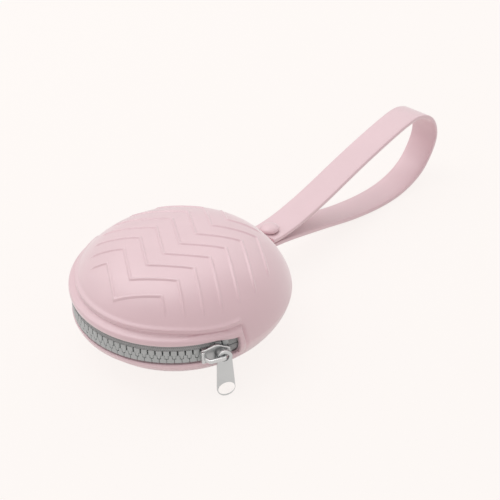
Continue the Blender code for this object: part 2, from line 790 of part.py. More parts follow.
def make_pull_tab():
    pivot_x = CROWN_NOSE_X - CROWN_BAR / 2
    frame = tangent_frame(SLIDER_ANGLE) @ Matrix.Translation((pivot_x, 0.0, 0.0))
    under_crown = OUTER_PLATE_RADIUS + PLATE_THICKNESS + CROWN_INNER_HEIGHT
    low = under_crown - TAB_PLAY - TAB_THICKNESS
    tab = plate("pull_tab", tab_outline(), low, low + TAB_THICKNESS, frame, bright_metal)
    pivot = frame @ Matrix.Translation((0.0, 0.0, low + TAB_THICKNESS / 2))
    eye = pivot @ Matrix.Translation((0.0, -TAB_EYE_DROP, 0.0))
    hole = cylinder("eye_cutter", TAB_HOLE_RADIUS, 4 * TAB_THICKNESS, eye, 16)
    boolean(tab, hole, "DIFFERENCE")
    return tab, pivot.translation


def make_strap():
    line, root, bend = strap_line()
    lower = strap_run("strap_lower_run", root, bend, silicone)
    upper = strap_run("strap_upper_run", bend, len(line) - 1, silicone)
    place = Vector((0.0, PEG_Y, 0.0))
    lower_height = strap_height(PEG_Y, strap_route(STRAP_STUB + STRAP_RUN_OUT))
    upper_height = strap_height(PEG_Y, strap_route(STRAP_RUN_BACK))
    hole = cylinder(
        "peg_hole_cutter",
        PEG_STEM_RADIUS + PEG_HOLE_CLEARANCE,
        2.4 * STRAP_THICKNESS,
        Matrix.Translation(place + Vector((0.0, 0.0, upper_height))),
        PEG_SEGMENTS,
    )
    boolean(upper, hole, "DIFFERENCE")
    foot = lower_height + STRAP_THICKNESS / 2 + 1.5 * CLEARANCE
    neck = upper_height + STRAP_THICKNESS / 2 + 1.5 * CLEARANCE
    top = neck + PEG_HEAD_HEIGHT
    profile = [(0.0, top)]
    for step in (30, 60, 80):
        a = math.radians(step)
        height = neck + 0.5 * MM + (PEG_HEAD_HEIGHT - 0.5 * MM) * math.cos(a)
        profile.append((PEG_HEAD_RADIUS * math.sin(a), height))
    profile += [
        (PEG_HEAD_RADIUS, neck + 0.5 * MM),
        (PEG_HEAD_RADIUS - 0.5 * MM, neck),
        (PEG_STEM_RADIUS, neck),
        (PEG_STEM_RADIUS, foot),
        (0.0, foot),
    ]
    peg = turned("strap_peg", profile, PEG_SEGMENTS, place, silicone)
    return lower, upper, peg


clear_scene()
parts = new_collection("pacifier_case")
cutters = new_collection("cutters")
silicone = make_material("silicone", PINK, 0.55, 0.0)
tape_cloth = make_material("zip_tape", TAPE_GREY, 0.9, 0.0)
tooth_plastic = make_material("zip_teeth", TOOTH_GREY, 0.45, 0.0)
bright_metal = make_material("slider_metal", SILVER, 0.18, 1.0)

case_shell, lid_fold, lid_shell = make_shells(make_skin())
upper_tape = make_tape("upper_tape", 1)
lower_tape = make_tape("lower_tape", -1)
upper_teeth = make_teeth("upper_teeth", 1, 0.0)
lower_teeth = make_teeth("lower_teeth", -1, 0.5)
upper_stop, lower_stop, end_stop = make_stops()
slider_body, slider_crown = make_slider()
pull_tab, pull_pivot = make_pull_tab()
strap_lower_run, strap_upper_run, strap_peg = make_strap()

lid_axis = joint_empty("lid_axis", Vector((0.0, HINGE_Y, MID_HEIGHT)))
for piece in (lid_shell, upper_tape, upper_teeth, upper_stop):
    hang_on(piece, lid_axis)

slider_axis = joint_empty("slider_axis", Vector((0.0, 0.0, MID_HEIGHT)))
for piece in (slider_body, slider_crown):
    hang_on(piece, slider_axis)

pull_axis = joint_empty("pull_axis", pull_pivot, slider_axis)
hang_on(pull_tab, pull_axis)

strap_points, root_place, bend_place = strap_line()
half_strap = Vector((0.0, 0.0, STRAP_THICKNESS / 2))
strap_axis = joint_empty("strap_axis", strap_points[root_place] + half_strap)
for piece in (strap_lower_run, strap_peg):
    hang_on(piece, strap_axis)

strap_end_axis = joint_empty("strap_end_axis", strap_points[bend_place] + half_strap, strap_axis)
hang_on(strap_upper_run, strap_end_axis)

for piece in parts.objects:
    if piece.type == "MESH":
        piece.data.shade_smooth()
        piece.data.set_sharp_from_angle(angle=math.radians(35.0))
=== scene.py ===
import math

import bpy
import numpy as np
from mathutils import Matrix, Vector


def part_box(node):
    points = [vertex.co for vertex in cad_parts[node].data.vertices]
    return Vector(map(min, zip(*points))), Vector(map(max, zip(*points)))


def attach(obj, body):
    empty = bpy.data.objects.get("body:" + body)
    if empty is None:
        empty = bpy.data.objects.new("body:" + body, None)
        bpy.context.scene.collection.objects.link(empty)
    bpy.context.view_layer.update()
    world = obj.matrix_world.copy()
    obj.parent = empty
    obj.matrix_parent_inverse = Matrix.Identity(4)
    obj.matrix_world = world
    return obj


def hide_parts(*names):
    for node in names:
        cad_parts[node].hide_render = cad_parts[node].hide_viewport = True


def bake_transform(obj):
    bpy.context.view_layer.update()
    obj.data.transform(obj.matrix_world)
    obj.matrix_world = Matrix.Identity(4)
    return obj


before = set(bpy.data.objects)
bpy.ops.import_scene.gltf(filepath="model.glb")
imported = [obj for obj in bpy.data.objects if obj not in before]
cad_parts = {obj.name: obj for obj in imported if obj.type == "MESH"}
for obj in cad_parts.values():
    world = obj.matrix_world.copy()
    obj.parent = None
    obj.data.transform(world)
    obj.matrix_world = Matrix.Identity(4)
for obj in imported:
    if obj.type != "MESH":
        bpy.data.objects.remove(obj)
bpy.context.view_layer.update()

MM = 0.001

# Case moulding
CASE_RADIUS = 44.0 * MM
DOME_HEIGHT = 22.0 * MM
LOWER_DOME_HEIGHT = 19.8 * MM
MID_HEIGHT = 19.0 * MM
PLAN_POWER = 3.48
HEIGHT_POWER = 1.44
WALL = 1.8 * MM
FOOT_EASE = 0.5 * MM

# Slot of the zip, its lip and the groove round it
UPPER_SLOT_HALF = 4.6 * MM
LOWER_SLOT_HALF = 3.9 * MM
SLOT_END = math.radians(-13.5)
SLOT_RADIUS = 43.0 * MM
SLOT_CORNER = 1.4 * MM
CORNER_HOLD = 3.0 * MM
LIP_PROUD = 0.12 * MM
LIP_EASE = 0.12 * MM
LIP_CREST = 1.5 * MM
LIP_FRONT_DROP = 1.5 * MM
LIP_ROLL = 3.2
LIP_BACK_DROP = 1.1 * MM
LOWER_LIP_TUCK = 1.5 * MM
GROOVE_END = math.radians(-9.85)
GROOVE_HALF = 8.2 * MM
GROOVE_CORNER = 0.9 * MM
GROOVE_DEPTH = 1.1 * MM
GROOVE_SPREAD = 0.72 * MM
LOWER_GROOVE_SHARE = 0.3
SIDE_BLEND = 8.0 * MM
RIDGE_RISE = 0.72 * MM
RIDGE_OUT = 2.25 * MM
RIDGE_SPREAD = 0.48 * MM
RIDGE_FADE = 1.5 * MM
BAND_TOP = 12.5 * MM
# Millimetres from the slot's rim to the grid's closest lines beyond it
RIM_STEPS = (0.0, 0.04, 0.12, 0.25, 0.45, 0.7)

# The upper edge and the groove come down towards the slot's closed end
EDGE_DROP = 1.4 * MM
EDGE_DROP_START = math.radians(-28.0)
EDGE_EASE = 4.2 * MM
GROOVE_DROP = 1.7 * MM
GROOVE_DROP_START = math.radians(-54.0)
DROP_EASE_OUT = math.radians(30.0)

# Chevrons
RIB_CENTRE_X = 2.2 * MM
RIB_FIELD_RADIUS = 35.0 * MM
RIB_PEAK_X = 14.65 * MM
RIB_AMPLITUDE = 10.2 * MM
RIB_PITCH = 8.53 * MM
RIB_COUNT = 8
FIRST_VALLEY_Y = -34.4 * MM
RIB_REACH = 0.85 * MM
RIB_RISE = 0.5 * MM
RIB_ROUNDNESS = 1.6
RIB_TAPER = 2.4 * MM
RIB_END_RISE = 0.12
RIB_END_WIDTH = 0.45
RIB_SINK = 0.03 * MM
RIB_ROOT = 0.35 * MM

# Zip
TOOTH_OUTER_RADIUS = 42.2 * MM
TOOTH_DEPTH = 2.7 * MM
TOOTH_PITCH = 2.8 * MM
TOOTH_COUNT = 37
TOOTH_ROUNDING = 0.12 * MM
CHAIN_END = math.radians(-20.56)
MOUTH_SPREAD = 1.4 * MM
MOUTH_START = -0.4 * MM
MOUTH_FULL = 2.4 * MM
STOP_ANGLE = math.radians(-17.845)
STOP_HEIGHT = 3.1 * MM
STOP_SIZE = (1.6 * MM, 1.4 * MM, 1.8 * MM)
STOP_ROUNDING = 0.3 * MM
CORD_HALF_DEPTH = 0.55 * MM
CORD_HALF_HEIGHT = 0.42 * MM
CORD_OVERHANG = 0.02
UPPER_TAPE_EDGE = 2.3 * MM
LOWER_TAPE_EDGE = 3.1 * MM
TAPE_BULGE = 1.6 * MM
TAPE_FLAT_HEIGHT = 5.2 * MM
TAPE_REACH = 8.6 * MM
TAPE_THICKNESS = 0.5 * MM
TAPE_INSET = 0.3 * MM
TAPE_CLEARANCE = 0.4 * MM
TAPE_OVERHANG = 0.03
CLOSED_EDGE = 0.15 * MM
CLOSED_BULGE = 1.1 * MM
CLOSED_FULL = 1.8 * MM
CLOSED_FADE = 2.6 * MM
CLOSING_START = math.radians(-20.3)
CLOSING_TURN = math.radians(1.8)
OPEN_END_CLOSING = math.radians(-158.6)
# Right half of a tooth's face in millimetres: along the zip, and back from the zip's middle
UPPER_TOOTH = [
    (0.95, 2.4), (1.1, 2.25), (1.1, 0.45), (1.0, 0.35), (0.62, 0.30), (0.62, -0.55),
    (0.5, -0.95), (0.25, -1.13),
]
LOWER_TOOTH = [
    (1.15, 3.1), (1.3, 2.95), (1.3, 1.45), (1.2, 1.35), (0.70, 1.27), (0.70, 0.0),
    (0.62, -0.2), (0.42, -0.3),
]
# Height of a row's cord from the zip's middle, and its depth behind the teeth's faces
UPPER_CORD = (2.2 * MM, 1.6 * MM)
LOWER_CORD = (2.7 * MM, 1.2 * MM)

# Slider and puller
SLIDER_ANGLE = math.radians(-26.697)
OUTER_PLATE_RADIUS = 42.5 * MM
INNER_PLATE_RADIUS = 38.8 * MM
PLATE_THICKNESS = 1.2 * MM
PLATE_FACE = OUTER_PLATE_RADIUS + PLATE_THICKNESS
PLATE_ROUNDING = 0.35 * MM
# Millimetres: half height at tail, shoulder and nose, and how far the lower side is let down
FRONT_PLATE = (2.8, 3.8, 1.9, 0.6)
BACK_PLATE = (3.0, 3.8, 2.2, 0.0)
POST_LENGTH = 2.0 * MM
POST_HEIGHT = 0.9 * MM
POST_X = 3.4 * MM
POST_ROUNDING = 0.2 * MM
FLANGE_SIZE = (4.2 * MM, 0.3 * MM, 1.7 * MM)
FLANGE_ROUNDING = 0.08 * MM
FLANGE_X = -2.9 * MM
FLANGE_HEIGHTS = (2.64 * MM, -3.26 * MM)
FLANGE_SINK = 0.3 * MM
# Which faces of the front plate take the darker metal as painted shade: on its flat outer face and
# facing outward
FACING = 0.98
FACE_MARGIN = 0.1 * MM
BAR_UNDERSIDE = 46.9 * MM
BAR_TOP = 47.9 * MM
BAR_WIDTH = 1.5 * MM
BAR_ROUNDING = 0.25 * MM
TAIL_SIZE = (1.3 * MM, 5.0 * MM, 1.2 * MM)
TAIL_ROUNDING = 0.3 * MM
TAIL_PLACE = (-5.05 * MM, 0.0, PLATE_FACE + 0.4 * MM)
PIVOT_X = 2.5 * MM
TAB_LEVEL = 45.8 * MM
TAB_THICKNESS = 1.3 * MM
TAB_ROUNDING = 0.3 * MM
HEAD_RADIUS = 3.0 * MM
EYE_Y = -0.65 * MM
EYE_RADIUS = 1.7 * MM
END_Y = -15.35 * MM
END_RADIUS = 3.55 * MM
TAB_SIDE = [(-2.92 * MM, -3.0 * MM), (-3.2 * MM, -8.0 * MM)]
DISH_SIZE = (3.3 * MM, 2.75 * MM, 0.45 * MM)
DISH_Y = END_Y + 0.15 * MM
DISH_RISE = 0.03 * MM
DISH_MARGIN = 0.002 * MM

# Strap
STRAP_WIDTH = 13.5 * MM
STRAP_THICKNESS = 1.7 * MM
STRAP_ROUNDING = 0.55 * MM
STRAP_STEP = 1.2 * MM
# The middle line in millimetres: sideways, outward from the case's side and above its mid plane
STRAP_ROUTE = [
    (0.0, -2.0, -2.5), (0.0, 2.0, -2.8), (0.2, 14.0, -4.9), (0.8, 34.0, -9.6), (1.4, 55.0, -14.8),
    (1.8, 74.0, -17.6), (1.8, 89.0, -17.5), (1.6, 101.5, -13.8), (1.2, 109.8, -6.4),
    (0.6, 113.4, 1.0), (0.0, 111.2, 8.6), (-0.6, 104.3, 13.2), (-1.1, 94.0, 13.4),
    (-1.5, 68.0, 8.0), (-1.1, 40.0, 1.6), (-0.5, 26.0, -0.5), (0.0, 16.0, -1.2),
    (0.0, 8.0, -1.4), (0.0, 3.6, -0.9),
]
STRAP_SEAM = 8
PEG_Y = 52.0 * MM
PEG_HOLE_RADIUS = 2.4 * MM
PEG_HOLE_DEPTH = 8.0 * MM
PEG_HOLE_Z = MID_HEIGHT - 1.4 * MM
PEG_HEAD = 2.2 * MM
PEG_RIM = 0.55 * MM

# Floor, light and camera
CREAM = (0.991, 0.947, 0.922)
FLOOR_SIZE = 8.0
FLOOR_LEVEL = -0.2 * MM
FLOOR_GLOW = 0.9
SKY = (1.0, 0.985, 0.975)
SKY_STRENGTH = 0.63
LAMPS = (
    ("overhead", (-0.30, 0.0, 0.90), 1.8),
    ("left", (-0.60, -0.20, 0.60), 1.10),
    ("behind", (-0.55, 0.42, 0.62), 0.60),
    ("behind_strap", (-0.15, 0.65, 0.60), 0.68),
)
LAMP_TARGET = (0.0, 0.03, 0.02)
LAMP_SIZE = 0.7
CAMERA_PLACE = (0.3056789, -0.2720523, 0.3276627)
CAMERA_BACK = (0.568956, -0.580928, 0.582075)
CAMERA_ROLL = -0.038257
CAMERA_LENS = 94.176


# Helpers


def smooth_step(share):
    share = np.clip(share, 0.0, 1.0)
    return share * share * (3.0 - 2.0 * share)


def deselect():
    bpy.ops.object.select_all(action="DESELECT")


def pick(piece):
    deselect()
    piece.select_set(True)
    bpy.context.view_layer.objects.active = piece


def named(piece, name):
    piece.name = name
    piece.data.name = name
    return piece


def sheet_on(name, points):
    """A grid whose rows and columns are laid on an array of points."""
    rows, columns = points.shape[:2]
    deselect()
    bpy.ops.mesh.primitive_grid_add(x_subdivisions=columns - 1, y_subdivisions=rows - 1)
    sheet = named(bpy.context.object, name)
    sheet.data.vertices.foreach_set("co", points.astype(np.float32).reshape(-1))
    sheet.data.update()
    return sheet


def weld(piece, reach=0.000002):
    pick(piece)
    bpy.ops.object.mode_set(mode="EDIT")
    bpy.ops.mesh.select_all(action="SELECT")
    bpy.ops.mesh.remove_doubles(threshold=reach)
    bpy.ops.object.mode_set(mode="OBJECT")


def recalculate(piece):
    pick(piece)
    bpy.ops.object.mode_set(mode="EDIT")
    bpy.ops.mesh.select_all(action="SELECT")
    bpy.ops.mesh.normals_make_consistent(inside=False)
    bpy.ops.object.mode_set(mode="OBJECT")


def cap_ends(piece):
    """Closes the open ends of a swept piece and turns its faces outward."""
    pick(piece)
    bpy.ops.object.mode_set(mode="EDIT")
    bpy.ops.mesh.select_mode(type="EDGE")
    bpy.ops.mesh.select_all(action="DESELECT")
    bpy.ops.mesh.select_non_manifold()
    bpy.ops.mesh.edge_face_add()
    bpy.ops.object.mode_set(mode="OBJECT")
    recalculate(piece)


def apply_all(piece):
    pick(piece)
    for modifier in list(piece.modifiers):
        bpy.ops.object.modifier_apply(modifier=modifier.name)


def settle(piece):
    """Applies the piece's place to its mesh."""
    pick(piece)
    bpy.ops.object.transform_apply(location=True, rotation=True, scale=True)


def cut_away(piece, cutter):
    """Cuts one shape out of a piece and removes the cutter."""
    cut = piece.modifiers.new("cut", "BOOLEAN")
    cut.operation = "DIFFERENCE"
    cut.solver = "EXACT"
    cut.object = cutter
    apply_all(piece)
    bpy.data.objects.remove(cutter)


def shade(piece, degrees=35.0):
    pick(piece)
    bpy.ops.object.shade_smooth_by_angle(angle=math.radians(degrees), keep_sharp_edges=False)


def coat(piece, material):
    piece.data.materials.clear()
    piece.data.materials.append(material)


def join(name, pieces):
    deselect()
    for piece in pieces:
        piece.select_set(True)
    bpy.context.view_layer.objects.active = pieces[0]
    if len(pieces) > 1:
        bpy.ops.object.join()
    return named(pieces[0], name)


def outer_radius(z, inset=0.0):
    """Radius of the plain dome, or of its inside by an inset, at a height off the mid plane."""
    height = np.where(np.asarray(z) > 0.0, DOME_HEIGHT, LOWER_DOME_HEIGHT) - inset
    share = np.minimum(1.0, np.abs(z) / height)
    return (CASE_RADIUS - inset) * (1.0 - share**HEIGHT_POWER) ** (1.0 / PLAN_POWER)


def dome_height(radius):
    share = np.minimum(1.0, radius / CASE_RADIUS)
    return DOME_HEIGHT * (1.0 - share**PLAN_POWER) ** (1.0 / HEIGHT_POWER)


def tangent_frame(angle):
    """X along the zip, Y up and Z outward, on the case's axis."""
    outward = Vector((math.cos(angle), math.sin(angle), 0.0))
    along = Vector((-math.sin(angle), math.cos(angle), 0.0))
    up = Vector((0.0, 0.0, 1.0))
    axes = Matrix((along, up, outward)).transposed().to_4x4()
    return Matrix.Translation((0.0, 0.0, MID_HEIGHT)) @ axes


def plate_from(name, outlines, thickness, rounding, place):
    """A flat plate with rounded edges from its outlines, the first outside and the rest holes."""
    curve = bpy.data.curves.new(name, "CURVE")
    curve.dimensions = "2D"
    curve.fill_mode = "BOTH"
    curve.extrude = thickness / 2 - rounding
    curve.bevel_depth = rounding
    curve.bevel_resolution = 2
    curve.offset = -rounding
    for outline in outlines:
        spline = curve.splines.new("POLY")
        spline.points.add(len(outline) - 1)
        for point, (x, y) in zip(spline.points, outline):
            point.co = (x, y, 0.0, 1.0)
        spline.use_cyclic_u = True
    drawn = bpy.data.objects.new(name, curve)
    bpy.context.collection.objects.link(drawn)
    pick(drawn)
    bpy.ops.object.convert(target="MESH")
    made = named(bpy.context.object, name)
    made.matrix_world = place
    settle(made)
    weld(made, 0.000001)
    recalculate(made)
    return made


def make_block(name, size, rounding, place):
    """A small moulded block with rolled edges."""
    deselect()
    bpy.ops.mesh.primitive_cube_add(size=1.0, location=(0.0, 0.0, 0.0))
    block = named(bpy.context.object, name)
    block.scale = size
    settle(block)
    edge = block.modifiers.new("edge", "BEVEL")
    edge.width = rounding
    edge.segments = 3
    apply_all(block)
    block.data.transform(place)
    return block


def arc_points(centre_y, radius, start, end, count):
    """Points along an arc about a centre on the middle line, between two angles in degrees."""
    turns = [math.radians(start + (end - start) * i / count) for i in range(count + 1)]
    return [(radius * math.cos(a), centre_y + radius * math.sin(a)) for a in turns]


# Materials


def new_material(name):
    material = bpy.data.materials.new(name)
    material.use_nodes = True
    return material, material.node_tree.nodes, material.node_tree.links


def add_node(nodes, kind, **values):
    node = nodes.new(kind)
    for key, value in values.items():
        setattr(node, key, value)
    return node


def grain_group():
    """Fine speckle and soft cloudiness, as on a moulded or pressed surface."""
    group = bpy.data.node_groups.new("surface_grain", "ShaderNodeTree")
    for name, side, kind in (
        ("Colour", "INPUT", "Color"), ("Fine Scale", "INPUT", "Float"),
        ("Cloud Scale", "INPUT", "Float"), ("Roughness", "INPUT", "Float"),
        ("Colour", "OUTPUT", "Color"), ("Roughness", "OUTPUT", "Float"),
        ("Height", "OUTPUT", "Float"),
    ):
        group.interface.new_socket(name, in_out=side, socket_type="NodeSocket" + kind)
    nodes, links = group.nodes, group.links
    given = nodes.new("NodeGroupInput")
    out = nodes.new("NodeGroupOutput")
    place = nodes.new("ShaderNodeTexCoord")
    fine = add_node(nodes, "ShaderNodeTexNoise")
    fine.inputs["Detail"].default_value = 3.0
    cloud = add_node(nodes, "ShaderNodeTexNoise")
    cloud.inputs["Detail"].default_value = 2.0
    for noise, scale in ((fine, "Fine Scale"), (cloud, "Cloud Scale")):
        links.new(place.outputs["Object"], noise.inputs["Vector"])
        links.new(given.outputs[scale], noise.inputs["Scale"])
    tone = add_node(nodes, "ShaderNodeMapRange")
    tone.inputs["From Min"].default_value = 0.3
    tone.inputs["From Max"].default_value = 0.7
    tone.inputs["To Min"].default_value = 0.975
    tone.inputs["To Max"].default_value = 1.02
    links.new(cloud.outputs["Fac"], tone.inputs["Value"])
    dye = add_node(nodes, "ShaderNodeVectorMath", operation="SCALE")
    links.new(given.outputs["Colour"], dye.inputs[0])
    links.new(tone.outputs["Result"], dye.inputs["Scale"])
    links.new(dye.outputs["Vector"], out.inputs["Colour"])
    rough = add_node(nodes, "ShaderNodeMath", operation="MULTIPLY_ADD")
    rough.inputs[1].default_value = 0.12
    links.new(fine.outputs["Fac"], rough.inputs[0])
    links.new(given.outputs["Roughness"], rough.inputs[2])
    links.new(rough.outputs["Value"], out.inputs["Roughness"])
    links.new(fine.outputs["Fac"], out.inputs["Height"])
    return group


def add_grain(material, colour, fine, cloud, roughness):
    """Places the grain in a material and returns its node."""
    nodes = material.node_tree.nodes
    node = nodes.new("ShaderNodeGroup")
    node.node_tree = grain
    node.inputs["Colour"].default_value = (*colour, 1.0)
    node.inputs["Fine Scale"].default_value = fine
    node.inputs["Cloud Scale"].default_value = cloud
    node.inputs["Roughness"].default_value = roughness
    return node


def grain_finish(
    name, colour, roughness, fine, cloud, bump, metallic=0.0, sheen=0.0, specular=0.5, ior=1.5
):
    material, nodes, links = new_material(name)
    shader = nodes["Principled BSDF"]
    face = add_grain(material, colour, fine, cloud, roughness)
    links.new(face.outputs["Colour"], shader.inputs["Base Color"])
    links.new(face.outputs["Roughness"], shader.inputs["Roughness"])
    relief = nodes.new("ShaderNodeBump")
    relief.inputs["Strength"].default_value = bump
    relief.inputs["Distance"].default_value = 0.0001
    links.new(face.outputs["Height"], relief.inputs["Height"])
    links.new(relief.outputs["Normal"], shader.inputs["Normal"])
    shader.inputs["Metallic"].default_value = metallic
    shader.inputs["Specular IOR Level"].default_value = specular
    shader.inputs["IOR"].default_value = ior
    if sheen:
        shader.inputs["Sheen Weight"].default_value = sheen
        shader.inputs["Sheen Roughness"].default_value = 0.5
        shader.inputs["Sheen Tint"].default_value = (1.0, 0.97, 0.97, 1.0)
    return material


def weave_finish(name, thread, gap):
    """Twill tape: its threads follow the tape's own UV map, in millimetres."""
    material, nodes, links = new_material(name)
    shader = nodes["Principled BSDF"]
    place = nodes.new("ShaderNodeUVMap")
    place.uv_map = "cloth"
    split = nodes.new("ShaderNodeSeparateXYZ")
    links.new(place.outputs["UV"], split.inputs["Vector"])
    waves = []
    for across, along, turns in ((1.0, 0.55, 1.3), (0.0, 1.0, 1.6)):
        first = add_node(nodes, "ShaderNodeMath", operation="MULTIPLY")
        first.inputs[1].default_value = across * turns * 2 * math.pi
        links.new(split.outputs["X"], first.inputs[0])
        second = add_node(nodes, "ShaderNodeMath", operation="MULTIPLY_ADD")
        second.inputs[1].default_value = along * turns * 2 * math.pi
        links.new(split.outputs["Y"], second.inputs[0])
        links.new(first.outputs["Value"], second.inputs[2])
        wave = add_node(nodes, "ShaderNodeMath", operation="SINE")
        links.new(second.outputs["Value"], wave.inputs[0])
        waves.append(wave)
    both = add_node(nodes, "ShaderNodeMath", operation="ADD")
    links.new(waves[0].outputs["Value"], both.inputs[0])
    links.new(waves[1].outputs["Value"], both.inputs[1])
    level = nodes.new("ShaderNodeMapRange")
    level.inputs["From Min"].default_value = -1.6
    level.inputs["From Max"].default_value = 1.6
    links.new(both.outputs["Value"], level.inputs["Value"])
    dye = add_node(nodes, "ShaderNodeMix", data_type="RGBA")
    dye.inputs["A"].default_value = (*gap, 1.0)
    dye.inputs["B"].default_value = (*thread, 1.0)
    links.new(level.outputs["Result"], dye.inputs["Factor"])
    links.new(dye.outputs["Result"], shader.inputs["Base Color"])
    relief = nodes.new("ShaderNodeBump")
    relief.inputs["Strength"].default_value = 0.6
    relief.inputs["Distance"].default_value = 0.0001
    links.new(level.outputs["Result"], relief.inputs["Height"])
    links.new(relief.outputs["Normal"], shader.inputs["Normal"])
    shader.inputs["Roughness"].default_value = 0.85
    shader.inputs["Sheen Weight"].default_value = 0.25
    return material


grain = grain_group()
silicone = grain_finish(
    "soft_silicone", (0.700, 0.468, 0.512), 0.38, 900.0, 60.0, 0.12,
    sheen=0.9, specular=1.0, ior=1.7,
)
tape_cloth = weave_finish("woven_tape", (0.44, 0.455, 0.455), (0.28, 0.29, 0.29))
tooth_plastic = grain_finish("moulded_teeth", (0.455, 0.475, 0.475), 0.38, 1500.0, 200.0, 0.15)
bright_metal = grain_finish(
    "polished_metal", (0.99, 0.985, 0.98), 0.06, 2200.0, 150.0, 0.03, metallic=1.0
)
cast_metal = grain_finish(
    "cast_metal", (0.60, 0.615, 0.62), 0.16, 1800.0, 180.0, 0.06, metallic=1.0
)
# A darker, slightly rougher copy of the cast metal, used for painted shade on the slider's flat
# front face
dull_metal_with_painted_shade = grain_finish(
    "dull_metal_with_painted_shade", (0.43, 0.44, 0.445), 0.30, 1800.0, 180.0, 0.06, metallic=1.0
)
satin_metal = grain_finish(
    "satin_metal", (0.575, 0.595, 0.60), 0.26, 2200.0, 150.0, 0.05, metallic=1.0
)


# Case skin


def lip_radius(beyond, z, slot_half):
    """Radius of the rolled lip at a distance beyond the slot's edge."""
    crest = outer_radius(np.clip(z, -slot_half - LOWER_LIP_TUCK, slot_half)) + LIP_PROUD
    front = np.clip(1.0 - beyond / LIP_CREST, 0.0, 1.0)
    back = np.clip((beyond - LIP_CREST) / LIP_CREST, 0.0, 1.0)
    drop = LIP_FRONT_DROP * (1.0 - (1.0 - front**LIP_ROLL) ** (1.0 / LIP_ROLL))
    drop = drop + LIP_BACK_DROP * (1.0 - np.sqrt(1.0 - back**2))
    return crest - drop


def closed_end_drop(angle, start, drop):
    """How far a line above the slot comes down at its closed end."""
    come_down = smooth_step((angle - start) / (SLOT_END - start))
    return drop * come_down * (1.0 - smooth_step((angle - SLOT_END) / DROP_EASE_OUT))


def lower_the_edge(angle, z, slot_half):
    """Brings the grid's lines beside the upper edge down with it."""
    drop = closed_end_drop(angle, EDGE_DROP_START, EDGE_DROP)
    below = np.clip(z / slot_half, 0.0, 1.0)
    above = smooth_step((z - slot_half - 2 * LIP_CREST) / EDGE_EASE)
    return z - drop * below * (1.0 - above)


def skin_radius(angle, z, over_edge, slot_half):
    """Outer radius of the moulding beside the slot, with its lip, groove and ridge."""
    from_middle = np.abs(angle + math.pi / 2)
    from_middle = np.where(from_middle > math.pi, 2 * math.pi - from_middle, from_middle)
    slot_reach = SLOT_RADIUS * (math.pi / 2 + SLOT_END)
    groove_reach = SLOT_RADIUS * (math.pi / 2 + GROOVE_END)
    along = SLOT_RADIUS * from_middle
    beyond = np.maximum(along - slot_reach, over_edge)
    plain = outer_radius(z)
    lip = lip_radius(beyond, z, slot_half)
    over = np.maximum(plain, lip) + LIP_EASE * np.exp(-np.abs(plain - lip) / LIP_EASE)
    radius = np.where(beyond < LIP_CREST, lip, np.where(beyond > 2 * LIP_CREST, plain, over))
    corner_x = along - groove_reach + GROOVE_CORNER
    drop = closed_end_drop(angle, GROOVE_DROP_START, GROOVE_DROP)
    corner_z = np.abs(z) + np.where(z > 0.0, drop, 0.0) - GROOVE_HALF + GROOVE_CORNER
    outside = np.hypot(np.maximum(corner_x, 0.0), np.maximum(corner_z, 0.0))
    groove = outside + np.minimum(np.maximum(corner_x, corner_z), 0.0) - GROOVE_CORNER
    upper_side = smooth_step(z / SIDE_BLEND + 0.5)
    depth = GROOVE_DEPTH * (LOWER_GROOVE_SHARE + (1.0 - LOWER_GROOVE_SHARE) * upper_side)
    radius = radius - depth * np.exp(-((groove / GROOVE_SPREAD) ** 2))
    rise = RIDGE_RISE * upper_side * (1.0 - smooth_step(corner_x / RIDGE_FADE))
    return radius + rise * np.exp(-(((groove - RIDGE_OUT) / RIDGE_SPREAD) ** 2))


def round_corners(angle, z, slot_half):
    """Draws the grid's lines in round the slot's corners."""
    middle = -math.pi / 2
    turn = np.where(angle > math.pi / 2, angle - 2 * math.pi, angle)
    side = np.where(turn > middle, 1.0, -1.0)
    reach = SLOT_RADIUS * (math.pi / 2 + SLOT_END)
    x = SLOT_RADIUS * np.abs(turn - middle) - reach + SLOT_CORNER
    y = np.abs(z) - slot_half + SLOT_CORNER
    near = (x > 0) & (y > 0)
    largest = np.maximum(np.maximum(x, y), 1e-9)
    length = np.maximum(np.hypot(x, y), 1e-9)
    hold = 1.0 - smooth_step((largest - SLOT_CORNER) / CORNER_HOLD)
    factor = np.where(near, 1.0 + (largest / length - 1.0) * hold, 1.0)
    new_x = (reach - SLOT_CORNER + np.where(near, x * factor, x)) / SLOT_RADIUS
    new_z = np.sign(z) * (slot_half - SLOT_CORNER + np.where(near, y * factor, y))
    return np.where(near, middle + side * new_x, angle), np.where(near, new_z, z)


def skin_columns():
    """Polar angles of the grid's columns, close together at the slot's ends."""
    right = [SLOT_END + step * MM / SLOT_RADIUS for step in RIM_STEPS]
    right += list(np.arange(1.0, 9.3, 0.3) * MM / SLOT_RADIUS + SLOT_END)
    before = list(np.radians(np.arange(-16.5, -13.5, 0.6)))
    middle = list(np.radians(np.arange(-90.0, -16.6, 1.6)))
    behind = list(np.linspace(right[-1], math.pi / 2, 60)[1:])
    right_half = middle + before + right + behind
    left_half = [-math.pi - angle for angle in reversed(right_half[1:])]
    return np.array(left_half + right_half)


def skin_rows(slot_half, dome):
    """Heights of the rows beside the slot, and points of the dome beyond them."""
    within = np.linspace(0.0, slot_half - 0.3 * MM, 6)
    edge = slot_half + np.array(RIM_STEPS) * MM
    band = np.concatenate([within, edge, np.arange(slot_half + 1.0 * MM, BAND_TOP, 0.25 * MM)])
    turn = np.linspace(0.0, math.pi / 2, 4000)
    radius = CASE_RADIUS * np.sin(turn) ** (2 / PLAN_POWER)
    height = dome * np.cos(turn) ** (2 / HEIGHT_POWER)
    run = np.concatenate([[0.0], np.cumsum(np.hypot(np.diff(radius), np.diff(height)))])
    top_run = np.interp(-BAND_TOP, -height, run)
    stations = np.linspace(top_run, 0.0, 38)
    return band, np.interp(stations, run, radius), np.interp(stations, run, height)


